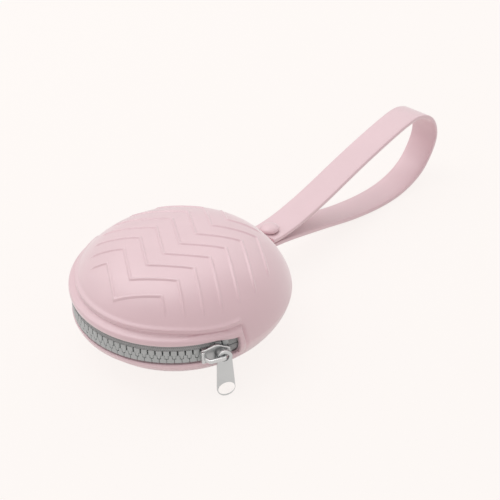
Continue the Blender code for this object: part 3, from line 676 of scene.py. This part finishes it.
def open_slot(skin, opened):
    """Deletes the grid's faces that lie in the slot."""
    pick(skin)
    bpy.ops.object.mode_set(mode="EDIT")
    bpy.ops.mesh.select_mode(type="FACE")
    bpy.ops.object.mode_set(mode="OBJECT")
    for parts in (skin.data.vertices, skin.data.edges):
        parts.foreach_set("select", np.zeros(len(parts), bool))
    skin.data.polygons.foreach_set("select", opened.reshape(-1))
    bpy.ops.object.mode_set(mode="EDIT")
    bpy.ops.mesh.delete(type="FACE")
    bpy.ops.object.mode_set(mode="OBJECT")


def give_wall(skin):
    """Thickens the skin and moves its inner side to the places that its points carry."""
    plain = len(skin.data.vertices)
    wall = skin.modifiers.new("wall", "SOLIDIFY")
    wall.thickness = WALL
    wall.offset = -1.0
    apply_all(skin)
    places = np.empty(len(skin.data.vertices) * 3, np.float32)
    skin.data.vertices.foreach_get("co", places)
    hidden = np.empty_like(places)
    skin.data.attributes["inner_wall"].data.foreach_get("vector", hidden)
    places[3 * plain:] = hidden[3 * plain:]
    skin.data.vertices.foreach_set("co", places)
    skin.data.attributes.remove(skin.data.attributes["inner_wall"])
    skin.data.update()


def make_skin_half(name, sign):
    """One half of the moulding, above or below its mid plane, with its inner wall."""
    columns = skin_columns()
    slot_half = UPPER_SLOT_HALF if sign > 0 else LOWER_SLOT_HALF
    dome = DOME_HEIGHT if sign > 0 else LOWER_DOME_HEIGHT
    band, dome_radius, dome_z = skin_rows(slot_half, dome)
    outer, inner = [], []
    for z in band:
        angle, height = round_corners(columns, np.full_like(columns, z), slot_half)
        over_edge = height - slot_half
        if sign > 0:
            height = lower_the_edge(angle, height, slot_half)
        radius = skin_radius(angle, sign * height, over_edge, slot_half)
        hollow = outer_radius(sign * height, WALL)
        for rows, size in ((outer, radius), (inner, hollow)):
            rows.append(
                np.stack([size * np.cos(angle), size * np.sin(angle), sign * height], axis=1)
            )
    for i, (radius, z) in enumerate(zip(dome_radius, dome_z)):
        j, k = max(i - 1, 0), min(i + 1, len(dome_radius) - 1)
        slope = Vector((dome_radius[k] - dome_radius[j], dome_z[k] - dome_z[j])).normalized()
        hollow = max(0.0, radius + slope[1] * -WALL)
        hollow_z = z + slope[0] * WALL
        if i == len(dome_radius) - 1:
            radius = hollow = 0.0
            hollow_z = z - WALL
        for rows, size, height in ((outer, radius, z), (inner, hollow, hollow_z)):
            flat = np.full_like(columns, sign * height)
            rows.append(np.stack([size * np.cos(columns), size * np.sin(columns), flat], axis=1))
    outer, inner = np.array(outer), np.array(inner)
    outer[..., 2] += MID_HEIGHT
    inner[..., 2] += MID_HEIGHT
    if sign < 0:
        outer[..., 2] = np.logaddexp(0.0, outer[..., 2] / FOOT_EASE) * FOOT_EASE
        inner[..., 2] = np.maximum(inner[..., 2], WALL)
    skin = sheet_on(name, outer)
    within = skin.data.attributes.new("inner_wall", "FLOAT_VECTOR", "POINT")
    within.data.foreach_set("vector", inner.astype(np.float32).reshape(-1))

    count = len(columns) - 1
    in_slot = (columns[:-1] > -math.pi - SLOT_END - 1e-6) & (columns[1:] < SLOT_END + 1e-6)
    low_rows = int(np.searchsorted(band, slot_half - 1e-9))
    opened = np.zeros((len(outer) - 1, count), bool)
    opened[:low_rows, in_slot] = True
    open_slot(skin, opened)
    weld(skin)
    face = skin.data.polygons[len(skin.data.polygons) // 3]
    away = Vector(face.center) - Vector((0.0, 0.0, MID_HEIGHT))
    if face.normal.dot(away) < 0:
        skin.data.flip_normals()
    give_wall(skin)
    weld(skin)
    shade(skin, 40.0)
    return skin


# Raised chevrons


def chevron_path(valley_y):
    """Plan points of one chevron, its sideways direction at each, and the length run so far."""
    slope = RIB_AMPLITUDE / RIB_PEAK_X

    def y_at(x):
        return valley_y + slope * (abs(x) if abs(x) <= RIB_PEAK_X else 2 * RIB_PEAK_X - abs(x))

    samples = np.linspace(0.0, RIB_FIELD_RADIUS, 1401)
    edge = max(x for x in samples if math.hypot(x, y_at(x)) < RIB_FIELD_RADIUS)
    stations = [0.0]
    for start, end in ((0.0, min(RIB_PEAK_X, edge)), (RIB_PEAK_X, edge)):
        if end > start + 1e-5:
            count = max(4, math.ceil((end - start) / (0.8 * MM)))
            stations += [start + (end - start) * (i + 1) / count for i in range(count)]
    xs = [-x for x in reversed(stations[1:])] + stations
    points = [Vector((x, y_at(x))) for x in xs]
    sides = []
    for i, point in enumerate(points):
        back = (point - points[i - 1]).normalized() if i else None
        ahead = (points[i + 1] - point).normalized() if i < len(points) - 1 else None
        back, ahead = back or ahead, ahead or back
        across = Vector((-(back.y + ahead.y), back.x + ahead.x)).normalized()
        sides.append(across / max(0.4, across.dot(Vector((-back.y, back.x)))))
    run = [0.0]
    for i in range(1, len(points)):
        run.append(run[-1] + (points[i] - points[i - 1]).length)
    return points, sides, run


def dome_point(x, y, rise):
    """A point raised off the dome along its normal, from its plan position."""
    radius = math.hypot(x, y)
    z = float(dome_height(radius))
    step = 0.02 * MM
    fall = float(dome_height(radius + step) - dome_height(max(radius - step, 0.0)))
    fall /= step + min(step, radius)
    length = math.hypot(fall, 1.0)
    out = -fall / length * rise / max(radius, 1e-6)
    return (x * (1 + out), y * (1 + out), MID_HEIGHT + z + rise / length)


def make_chevrons():
    across = np.linspace(-1.0, 1.0, 11)
    made = []
    for number in range(RIB_COUNT):
        points, sides, run = chevron_path(FIRST_VALLEY_Y + number * RIB_PITCH)
        rows = []
        for point, side, so_far in zip(points, sides, run):
            to_end = min(so_far, run[-1] - so_far)
            full = float(smooth_step(to_end / RIB_TAPER))
            swell = RIB_END_RISE + (1.0 - RIB_END_RISE) * full
            width = RIB_REACH * (RIB_END_WIDTH + (1.0 - RIB_END_WIDTH) * swell)
            ring = []
            for s in across:
                plan = point + side * (s * width)
                rise = RIB_RISE * swell * math.cos(s * math.pi / 2) ** RIB_ROUNDNESS
                ring.append(dome_point(plan.x + RIB_CENTRE_X, plan.y, rise - RIB_SINK))
            for s in (0.7, -0.7):
                plan = point + side * (s * width)
                ring.append(dome_point(plan.x + RIB_CENTRE_X, plan.y, -RIB_ROOT))
            ring.append(ring[0])
            rows.append(ring)
        rib = sheet_on(f"chevron_{number + 1}", np.array(rows))
        weld(rib)
        cap_ends(rib)
        made.append(rib)
    ribs = join("raised_chevrons", made)
    shade(ribs, 50.0)
    return ribs


# Teeth, cords and tape


def mouth_spread(angle):
    """How far a row stands off the zip's middle where the slider's mouth parts the two."""
    past_start = (angle - SLIDER_ANGLE) * TOOTH_OUTER_RADIUS - MOUTH_START
    return MOUTH_SPREAD * float(smooth_step(past_start / (MOUTH_FULL - MOUTH_START)))


def make_tooth(name, half_outline):
    """The plate of one moulded tooth, tip down: a broad root and a slim rounded head."""
    right = [(x * MM, y * MM) for x, y in half_outline]
    outline = right + [(-x, y) for x, y in reversed(right)]
    place = Matrix.Translation((0.0, 0.0, -TOOTH_DEPTH / 2))
    return plate_from(name, [outline], TOOTH_DEPTH, TOOTH_ROUNDING, place)


def place_copies(name, model, places):
    """Copies of one modelled piece, each with its own mesh, joined into a single piece."""
    copies = []
    for number, place in enumerate(places):
        mesh = model.data.copy()
        mesh.transform(place)
        if place.determinant() < 0:
            mesh.flip_normals()
        copy = bpy.data.objects.new(f"{name}_{number}", mesh)
        bpy.context.collection.objects.link(copy)
        copies.append(copy)
    return join(name, copies)


def zip_place(angle, sign, spread):
    flip = Matrix.Diagonal((1.0, sign, 1.0, 1.0))
    rise = Matrix.Translation((0.0, sign * spread, TOOTH_OUTER_RADIUS))
    return tangent_frame(angle) @ rise @ flip


def make_chain(name, sign, shift, half_outline, cord_height, cord_depth):
    """A row of teeth with the cord that they are moulded on and the stop at its closed end."""
    pitch = TOOTH_PITCH / TOOTH_OUTER_RADIUS
    first = CHAIN_END - pitch * shift
    tooth = make_tooth("tooth", half_outline)
    places = []
    for number in range(TOOTH_COUNT):
        angle = first - number * pitch
        places.append(zip_place(angle, sign, mouth_spread(angle)))
    row = place_copies(name, tooth, places)
    bpy.data.objects.remove(tooth)

    last = first - (TOOTH_COUNT - 1) * pitch
    angles = np.linspace(first + CORD_OVERHANG, last - CORD_OVERHANG, 150)
    rings = []
    for angle in angles:
        lift = mouth_spread(float(angle))
        ring = []
        for step in range(11):
            a = 2 * math.pi * step / 10
            radius = TOOTH_OUTER_RADIUS - cord_depth + CORD_HALF_DEPTH * math.cos(a)
            z = sign * (cord_height + lift + CORD_HALF_HEIGHT * math.sin(a))
            ring.append((radius * math.cos(angle), radius * math.sin(angle), MID_HEIGHT + z))
        rings.append(ring)
    cord = sheet_on(name + "_cord", np.array(rings))
    weld(cord)
    cap_ends(cord)

    out = TOOTH_OUTER_RADIUS - TOOTH_DEPTH + STOP_SIZE[2] / 2
    place = tangent_frame(STOP_ANGLE) @ Matrix.Translation((0.0, sign * STOP_HEIGHT, out))
    stop = make_block(name + "_stop", STOP_SIZE, STOP_ROUNDING, place)
    chain = join(name, [row, cord, stop])
    shade(chain, 40.0)
    return chain


def make_tape(name, sign):
    """Woven tape behind the lip: it bulges where the teeth grip it and closes at both ends."""
    slot_half = UPPER_SLOT_HALF if sign > 0 else LOWER_SLOT_HALF
    open_edge = UPPER_TAPE_EDGE if sign > 0 else LOWER_TAPE_EDGE
    bulge = TAPE_BULGE if sign > 0 else 0.0
    reach = SLOT_END + TAPE_OVERHANG
    angles = np.linspace(-math.pi - reach, reach, 250)
    shares = np.array([0.0, 0.02, 0.08, 0.17, 0.28, 0.42, 0.58, 0.78, 1.0])
    outer, inner = [], []
    for angle in angles:
        closed = float(smooth_step((angle - CLOSING_START) / CLOSING_TURN))
        meeting = max(closed, float(smooth_step((OPEN_END_CLOSING - angle) / CLOSING_TURN)))
        edge = open_edge + mouth_spread(float(angle))
        edge += (CLOSED_EDGE - edge) * meeting
        z = edge + shares * (TAPE_REACH - edge)
        level = np.maximum(z, slot_half + TAPE_CLEARANCE)
        flat = smooth_step((z - open_edge) / (TAPE_FLAT_HEIGHT - open_edge))
        filled = 1.0 - smooth_step((z - CLOSED_FULL) / CLOSED_FADE)
        swell = bulge * (1.0 - flat) * (1.0 - meeting) + CLOSED_BULGE * filled * closed
        radius = outer_radius(sign * level, WALL) - TAPE_INSET + swell
        for rows, size in ((outer, radius), (inner, radius - TAPE_THICKNESS)):
            rows.append(
                np.stack(
                    [size * math.cos(angle), size * math.sin(angle), MID_HEIGHT + sign * z],
                    axis=1,
                )
            )
    ring = np.concatenate([np.array(outer), np.array(inner)[:, ::-1]], axis=1)
    ring = np.concatenate([ring, ring[:, :1]], axis=1)
    tape = sheet_on(name, ring)
    cloth = tape.data.uv_layers.active or tape.data.uv_layers.new()
    cloth.name = "cloth"
    corners = np.empty(len(tape.data.loops), np.int32)
    tape.data.loops.foreach_get("vertex_index", corners)
    places = ring.reshape(-1, 3)[corners]
    along = np.arctan2(places[:, 1], places[:, 0]) * CASE_RADIUS / MM
    up = places[:, 2] / MM
    cloth.data.foreach_set("uv", np.stack([along, up], axis=1).astype(np.float32).reshape(-1))
    weld(tape)
    cap_ends(tape)
    shade(tape, 50.0)
    return tape


# Slider and its puller


def plate_outline(tail, shoulder, nose, sink):
    """A slider plate from its tail at the left to its nose, with its lower side let down."""
    upper = [
        (-5.7, tail - 0.9), (-5.45, tail - 0.35), (-4.8, tail), (-3.7, tail),
        (-2.0, tail + 0.48 * (shoulder - tail)), (-0.4, shoulder - 0.08), (0.3, shoulder),
        (1.2, shoulder - 0.15), (2.2, shoulder - 0.6), (3.4, nose + 0.45), (4.6, nose),
        (5.4, nose - 0.45), (5.7, nose - 1.0),
    ]
    lower = [(x, -y - sink) for x, y in reversed(upper)]
    return [(x * MM, y * MM) for x, y in upper + lower]


def make_slider_body():
    """Two plates, the post between their noses and the flanges that guide the teeth."""
    frame_at = tangent_frame(SLIDER_ANGLE)
    middle = OUTER_PLATE_RADIUS + PLATE_THICKNESS / 2
    back = INNER_PLATE_RADIUS - PLATE_THICKNESS / 2
    pieces = []
    plates = (("front_plate", FRONT_PLATE, middle), ("back_plate", BACK_PLATE, back))
    for name, shape, level in plates:
        outline = plate_outline(*shape)
        place = frame_at @ Matrix.Translation((0.0, 0.0, level))
        pieces.append(plate_from(name, [outline], PLATE_THICKNESS, PLATE_ROUNDING, place))
    size = (POST_LENGTH, POST_HEIGHT, middle - back)
    place = frame_at @ Matrix.Translation((POST_X, 0.0, (middle + back) / 2))
    pieces.append(make_block("post", size, POST_ROUNDING, place))
    for y in FLANGE_HEIGHTS:
        place = frame_at @ Matrix.Translation((FLANGE_X, y, OUTER_PLATE_RADIUS - FLANGE_SINK))
        pieces.append(make_block("flange", FLANGE_SIZE, FLANGE_ROUNDING, place))
    body = join("slider_housing", pieces)
    coat(body, cast_metal)
    # The flat outer face of the front plate gets the darker, rougher metal: its darkness is painted
    # shade
    body.data.materials.append(dull_metal_with_painted_shade)
    outward = frame_at.col[2].to_3d()
    for face in body.data.polygons:
        on_the_face = face.center.dot(outward) > PLATE_FACE - FACE_MARGIN
        if on_the_face and face.normal.dot(outward) > FACING:
            face.material_index = 1
    shade(body, 35.0)
    return body


def make_crown():
    """The bar over the slider's face: a low tail block, a slim bridge and a nose leg."""
    base = PLATE_FACE / MM
    under, over = BAR_UNDERSIDE / MM, BAR_TOP / MM
    side = [
        (-5.0, base - 0.1), (-3.9, base - 0.1), (-3.8, base + 1.6), (-3.2, under - 0.25),
        (-2.7, under), (1.6, under), (2.0, under - 0.4), (2.0, base - 0.1), (3.0, base - 0.1),
        (3.0, over - 0.9), (2.75, over - 0.3), (2.2, over), (-3.1, over), (-3.8, over - 0.35),
        (-4.6, base + 2.2), (-5.0, base + 1.0),
    ]
    turned_up = tangent_frame(SLIDER_ANGLE) @ Matrix(
        ((1, 0, 0, 0), (0, 0, -1, 0), (0, 1, 0, 0), (0, 0, 0, 1))
    )
    outline = [(x * MM, y * MM) for x, y in side]
    bridge = plate_from("bridge", [outline], BAR_WIDTH, BAR_ROUNDING, turned_up)
    place = tangent_frame(SLIDER_ANGLE) @ Matrix.Translation(TAIL_PLACE)
    block = make_block("tail_block", TAIL_SIZE, TAIL_ROUNDING, place)
    crown = join("slider_bridge", [bridge, block])
    shade(crown, 35.0)
    return crown


def make_puller():
    """A flat puller with a round eye at its head and a polished dish at its end."""
    place = tangent_frame(SLIDER_ANGLE) @ Matrix.Translation((PIVOT_X, 0.0, TAB_LEVEL))
    outline = arc_points(EYE_Y, HEAD_RADIUS, -20.0, 200.0, 30) + TAB_SIDE
    outline += arc_points(END_Y, END_RADIUS, 175.0, 365.0, 30)
    outline += [(-x, y) for x, y in reversed(TAB_SIDE)]
    eye = arc_points(EYE_Y, EYE_RADIUS, 0.0, 360.0, 28)[:-1]
    puller = plate_from("puller", [outline, eye], TAB_THICKNESS, TAB_ROUNDING, Matrix())
    deselect()
    bpy.ops.mesh.primitive_uv_sphere_add(segments=64, ring_count=32, radius=1.0)
    dish = named(bpy.context.object, "dish")
    dish.scale = DISH_SIZE
    dish.location = (0.0, DISH_Y, TAB_THICKNESS / 2 + DISH_RISE)
    settle(dish)
    cut_away(puller, dish)
    coat(puller, satin_metal)
    puller.data.materials.append(bright_metal)
    for face in puller.data.polygons:
        x, y, z = face.center
        dished = math.hypot(x / DISH_SIZE[0], (y - DISH_Y) / DISH_SIZE[1]) < 1.0
        if dished and 0.0 < z < TAB_THICKNESS / 2 - DISH_MARGIN:
            face.material_index = 1
    puller.data.transform(place)
    shade(puller, 30.0)
    return puller


# Wrist strap and its peg


def strap_line():
    """Close points along the strap's middle line and the place of each route point."""
    start = Vector((0.0, CASE_RADIUS, MID_HEIGHT))
    points = [start + Vector(point) * MM for point in STRAP_ROUTE]
    line, places = [], []
    for i in range(len(points) - 1):
        before = points[max(i - 1, 0)]
        after = points[min(i + 2, len(points) - 1)]
        here, there = points[i], points[i + 1]
        places.append(len(line))
        count = max(2, round((there - here).length / STRAP_STEP))
        for k in range(count):
            t = k / count
            line.append(
                0.5
                * (
                    2 * here
                    + (there - before) * t
                    + (2 * before - 5 * here + 4 * there - after) * t**2
                    + (3 * here - before - 3 * there + after) * t**3
                )
            )
    places.append(len(line))
    line.append(points[-1])
    return line, places


def strap_section():
    """Outline of the ribbon across its width, with rolled edges."""
    half_width, half_thick = STRAP_WIDTH / 2, STRAP_THICKNESS / 2
    section = []
    for x_sign, z_sign in ((1, 1), (-1, 1), (-1, -1), (1, -1)):
        corner = []
        for a in np.radians((0.0, 22.5, 45.0, 67.5, 90.0)):
            x = half_width - STRAP_ROUNDING * (1.0 - math.cos(a))
            z = half_thick - STRAP_ROUNDING * (1.0 - math.sin(a))
            corner.append((x_sign * x, z_sign * z))
        section += corner if x_sign == z_sign else corner[::-1]
        if x_sign == z_sign:
            section += [(x_sign * x * MM, z_sign * half_thick) for x in (4.0, 2.0, 0.0, -2.0, -4.0)]
    return section


def make_strap_run(name, start, end):
    """One run of the ribbon between two points of its route."""
    line, places = strap_line()
    section = strap_section()
    rings = []
    for i in range(places[start], places[end] + 1):
        along = (line[min(i + 1, len(line) - 1)] - line[max(i - 1, 0)]).normalized()
        normal = Vector((1.0, 0.0, 0.0)).cross(along).normalized()
        across = along.cross(normal)
        rings.append([tuple(line[i] + across * x + normal * z) for x, z in section + section[:1]])
    strap = sheet_on(name, np.array(rings))
    weld(strap)
    cap_ends(strap)
    return strap


def make_return_run():
    """The run that loops back, with the hole for the peg near its free end."""
    strap = make_strap_run("strap_return", STRAP_SEAM, len(STRAP_ROUTE) - 1)
    deselect()
    bpy.ops.mesh.primitive_cylinder_add(
        vertices=48, radius=PEG_HOLE_RADIUS, depth=PEG_HOLE_DEPTH, location=(0.0, PEG_Y, PEG_HOLE_Z)
    )
    drill = bpy.context.object
    settle(drill)
    cut_away(strap, drill)
    shade(strap, 40.0)
    return strap


def make_peg():
    """A button on a stem, turned about its own axis."""
    low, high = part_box("strap_peg")
    radius = (high.x - low.x) / 2
    head = high.z - PEG_HEAD
    profile = [(0.0, high.z)]
    for step in range(1, 13):
        a = math.radians(step * 7.0)
        crown_rise = (PEG_HEAD - PEG_RIM) * math.cos(a)
        profile.append((radius * math.sin(a), head + PEG_RIM + crown_rise))
    profile += [
        (radius, head + 0.5 * MM), (radius - 0.12 * MM, head + 0.2 * MM),
        (radius - 0.5 * MM, head), (2.3 * MM, head), (1.95 * MM, head - 0.2 * MM),
        (1.9 * MM, head - 0.6 * MM), (1.9 * MM, low.z + 0.3 * MM), (2.1 * MM, low.z),
        (0.0, low.z),
    ]
    columns = 65
    turn = np.linspace(0.0, 2 * math.pi, columns)
    rows = [
        np.stack([r * np.cos(turn), PEG_Y + r * np.sin(turn), np.full(columns, z)], axis=1)
        for r, z in profile
    ]
    peg = sheet_on("strap_button", np.array(rows))
    weld(peg)
    recalculate(peg)
    shade(peg, 40.0)
    return peg


# The object

lower_skin = make_skin_half("case_skin", -1)
coat(lower_skin, silicone)
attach(lower_skin, "case")
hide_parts("case_shell")

upper_skin = make_skin_half("lid_skin", 1)
coat(upper_skin, silicone)
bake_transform(upper_skin)
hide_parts("lid_shell", "lid_fold")

chevrons = make_chevrons()
coat(chevrons, silicone)
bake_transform(chevrons)

upper_tape = make_tape("upper_zip_tape", 1)
coat(upper_tape, tape_cloth)
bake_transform(upper_tape)
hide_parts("upper_tape")

lower_tape = make_tape("lower_zip_tape", -1)
coat(lower_tape, tape_cloth)
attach(lower_tape, "case")
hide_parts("lower_tape")

upper_chain = make_chain("upper_zip_teeth", 1, 0.0, UPPER_TOOTH, *UPPER_CORD)
coat(upper_chain, tooth_plastic)
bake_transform(upper_chain)
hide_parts("upper_teeth", "upper_stop")

lower_chain = make_chain("lower_zip_teeth", -1, 0.5, LOWER_TOOTH, *LOWER_CORD)
coat(lower_chain, tooth_plastic)
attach(lower_chain, "case")
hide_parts("lower_teeth", "lower_stop")

coat(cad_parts["end_stop"], tooth_plastic)

housing = make_slider_body()
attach(housing, "slider")
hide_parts("slider_body")

crown = make_crown()
coat(crown, cast_metal)
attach(crown, "slider")
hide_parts("slider_crown")

puller = make_puller()
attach(puller, "pull")
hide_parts("pull_tab")

strap_out = make_strap_run("strap_outward", 0, STRAP_SEAM)
shade(strap_out, 40.0)
coat(strap_out, silicone)
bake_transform(strap_out)
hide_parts("strap_lower_run")

strap_back = make_return_run()
coat(strap_back, silicone)
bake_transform(strap_back)
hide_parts("strap_upper_run")

peg = make_peg()
coat(peg, silicone)
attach(peg, "strap")
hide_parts("strap_peg")


# Studio


def ray_mask(nodes, links):
    """One for rays from the camera, off metal and through glass, which see the pale backdrop."""
    rays = nodes.new("ShaderNodeLightPath")
    mask = rays.outputs["Is Camera Ray"]
    for other in ("Is Glossy Ray", "Is Transmission Ray"):
        both = add_node(nodes, "ShaderNodeMath", operation="MAXIMUM")
        links.new(mask, both.inputs[0])
        links.new(rays.outputs[other], both.inputs[1])
        mask = both.outputs["Value"]
    return both


def make_floor():
    deselect()
    bpy.ops.mesh.primitive_plane_add(size=FLOOR_SIZE, location=(0.0, 0.0, FLOOR_LEVEL))
    floor = named(bpy.context.object, "floor")
    material, nodes, links = new_material("floor_card")
    shader = nodes["Principled BSDF"]
    shader.inputs["Base Color"].default_value = (*CREAM, 1.0)
    shader.inputs["Roughness"].default_value = 1.0
    shader.inputs["Specular IOR Level"].default_value = 0.0
    glow = nodes.new("ShaderNodeEmission")
    glow.inputs["Color"].default_value = (*CREAM, 1.0)
    glow.inputs["Strength"].default_value = 1.0
    seen = ray_mask(nodes, links)
    share = add_node(nodes, "ShaderNodeMath", operation="MULTIPLY")
    share.inputs[1].default_value = FLOOR_GLOW
    links.new(seen.outputs["Value"], share.inputs[0])
    blend = nodes.new("ShaderNodeMixShader")
    links.new(share.outputs["Value"], blend.inputs["Fac"])
    links.new(shader.outputs["BSDF"], blend.inputs[1])
    links.new(glow.outputs["Emission"], blend.inputs[2])
    links.new(blend.outputs["Shader"], nodes["Material Output"].inputs["Surface"])
    coat(floor, material)


def make_world():
    world = bpy.data.worlds.new("studio")
    bpy.context.scene.world = world
    world.use_nodes = True
    nodes, links = world.node_tree.nodes, world.node_tree.links
    back = nodes["Background"]
    back.inputs["Color"].default_value = (*SKY, 1.0)
    back.inputs["Strength"].default_value = SKY_STRENGTH
    shown = nodes.new("ShaderNodeBackground")
    shown.inputs["Color"].default_value = (*CREAM, 1.0)
    shown.inputs["Strength"].default_value = 1.0
    seen = ray_mask(nodes, links)
    pick_one = nodes.new("ShaderNodeMixShader")
    links.new(seen.outputs["Value"], pick_one.inputs["Fac"])
    links.new(back.outputs["Background"], pick_one.inputs[1])
    links.new(shown.outputs["Background"], pick_one.inputs[2])
    links.new(pick_one.outputs["Shader"], nodes["World Output"].inputs["Surface"])


def add_lamp(name, place, power):
    light = bpy.data.lights.new(name, "AREA")
    light.shape = "DISK"
    light.size = LAMP_SIZE
    light.energy = power
    lamp = bpy.data.objects.new(name, light)
    bpy.context.collection.objects.link(lamp)
    lamp.location = place
    toward = Vector(LAMP_TARGET) - Vector(place)
    lamp.rotation_euler = toward.to_track_quat("-Z", "Y").to_euler()


def add_camera():
    back = Vector(CAMERA_BACK).normalized()
    level = Vector((0.0, 0.0, 1.0)).cross(back).normalized()
    upright = back.cross(level)
    right = math.cos(CAMERA_ROLL) * level + math.sin(CAMERA_ROLL) * upright
    up = -math.sin(CAMERA_ROLL) * level + math.cos(CAMERA_ROLL) * upright
    view = Matrix((right, up, back)).transposed().to_4x4()
    view.translation = Vector(CAMERA_PLACE)
    data = bpy.data.cameras.new("camera")
    data.sensor_width = 36.0
    data.lens = CAMERA_LENS
    camera = bpy.data.objects.new("camera", data)
    bpy.context.collection.objects.link(camera)
    camera.matrix_world = view
    bpy.context.scene.camera = camera


make_floor()
make_world()
for name, place, power in LAMPS:
    add_lamp(name, place, power)
add_camera()
bpy.context.scene.view_settings.view_transform = "Standard"
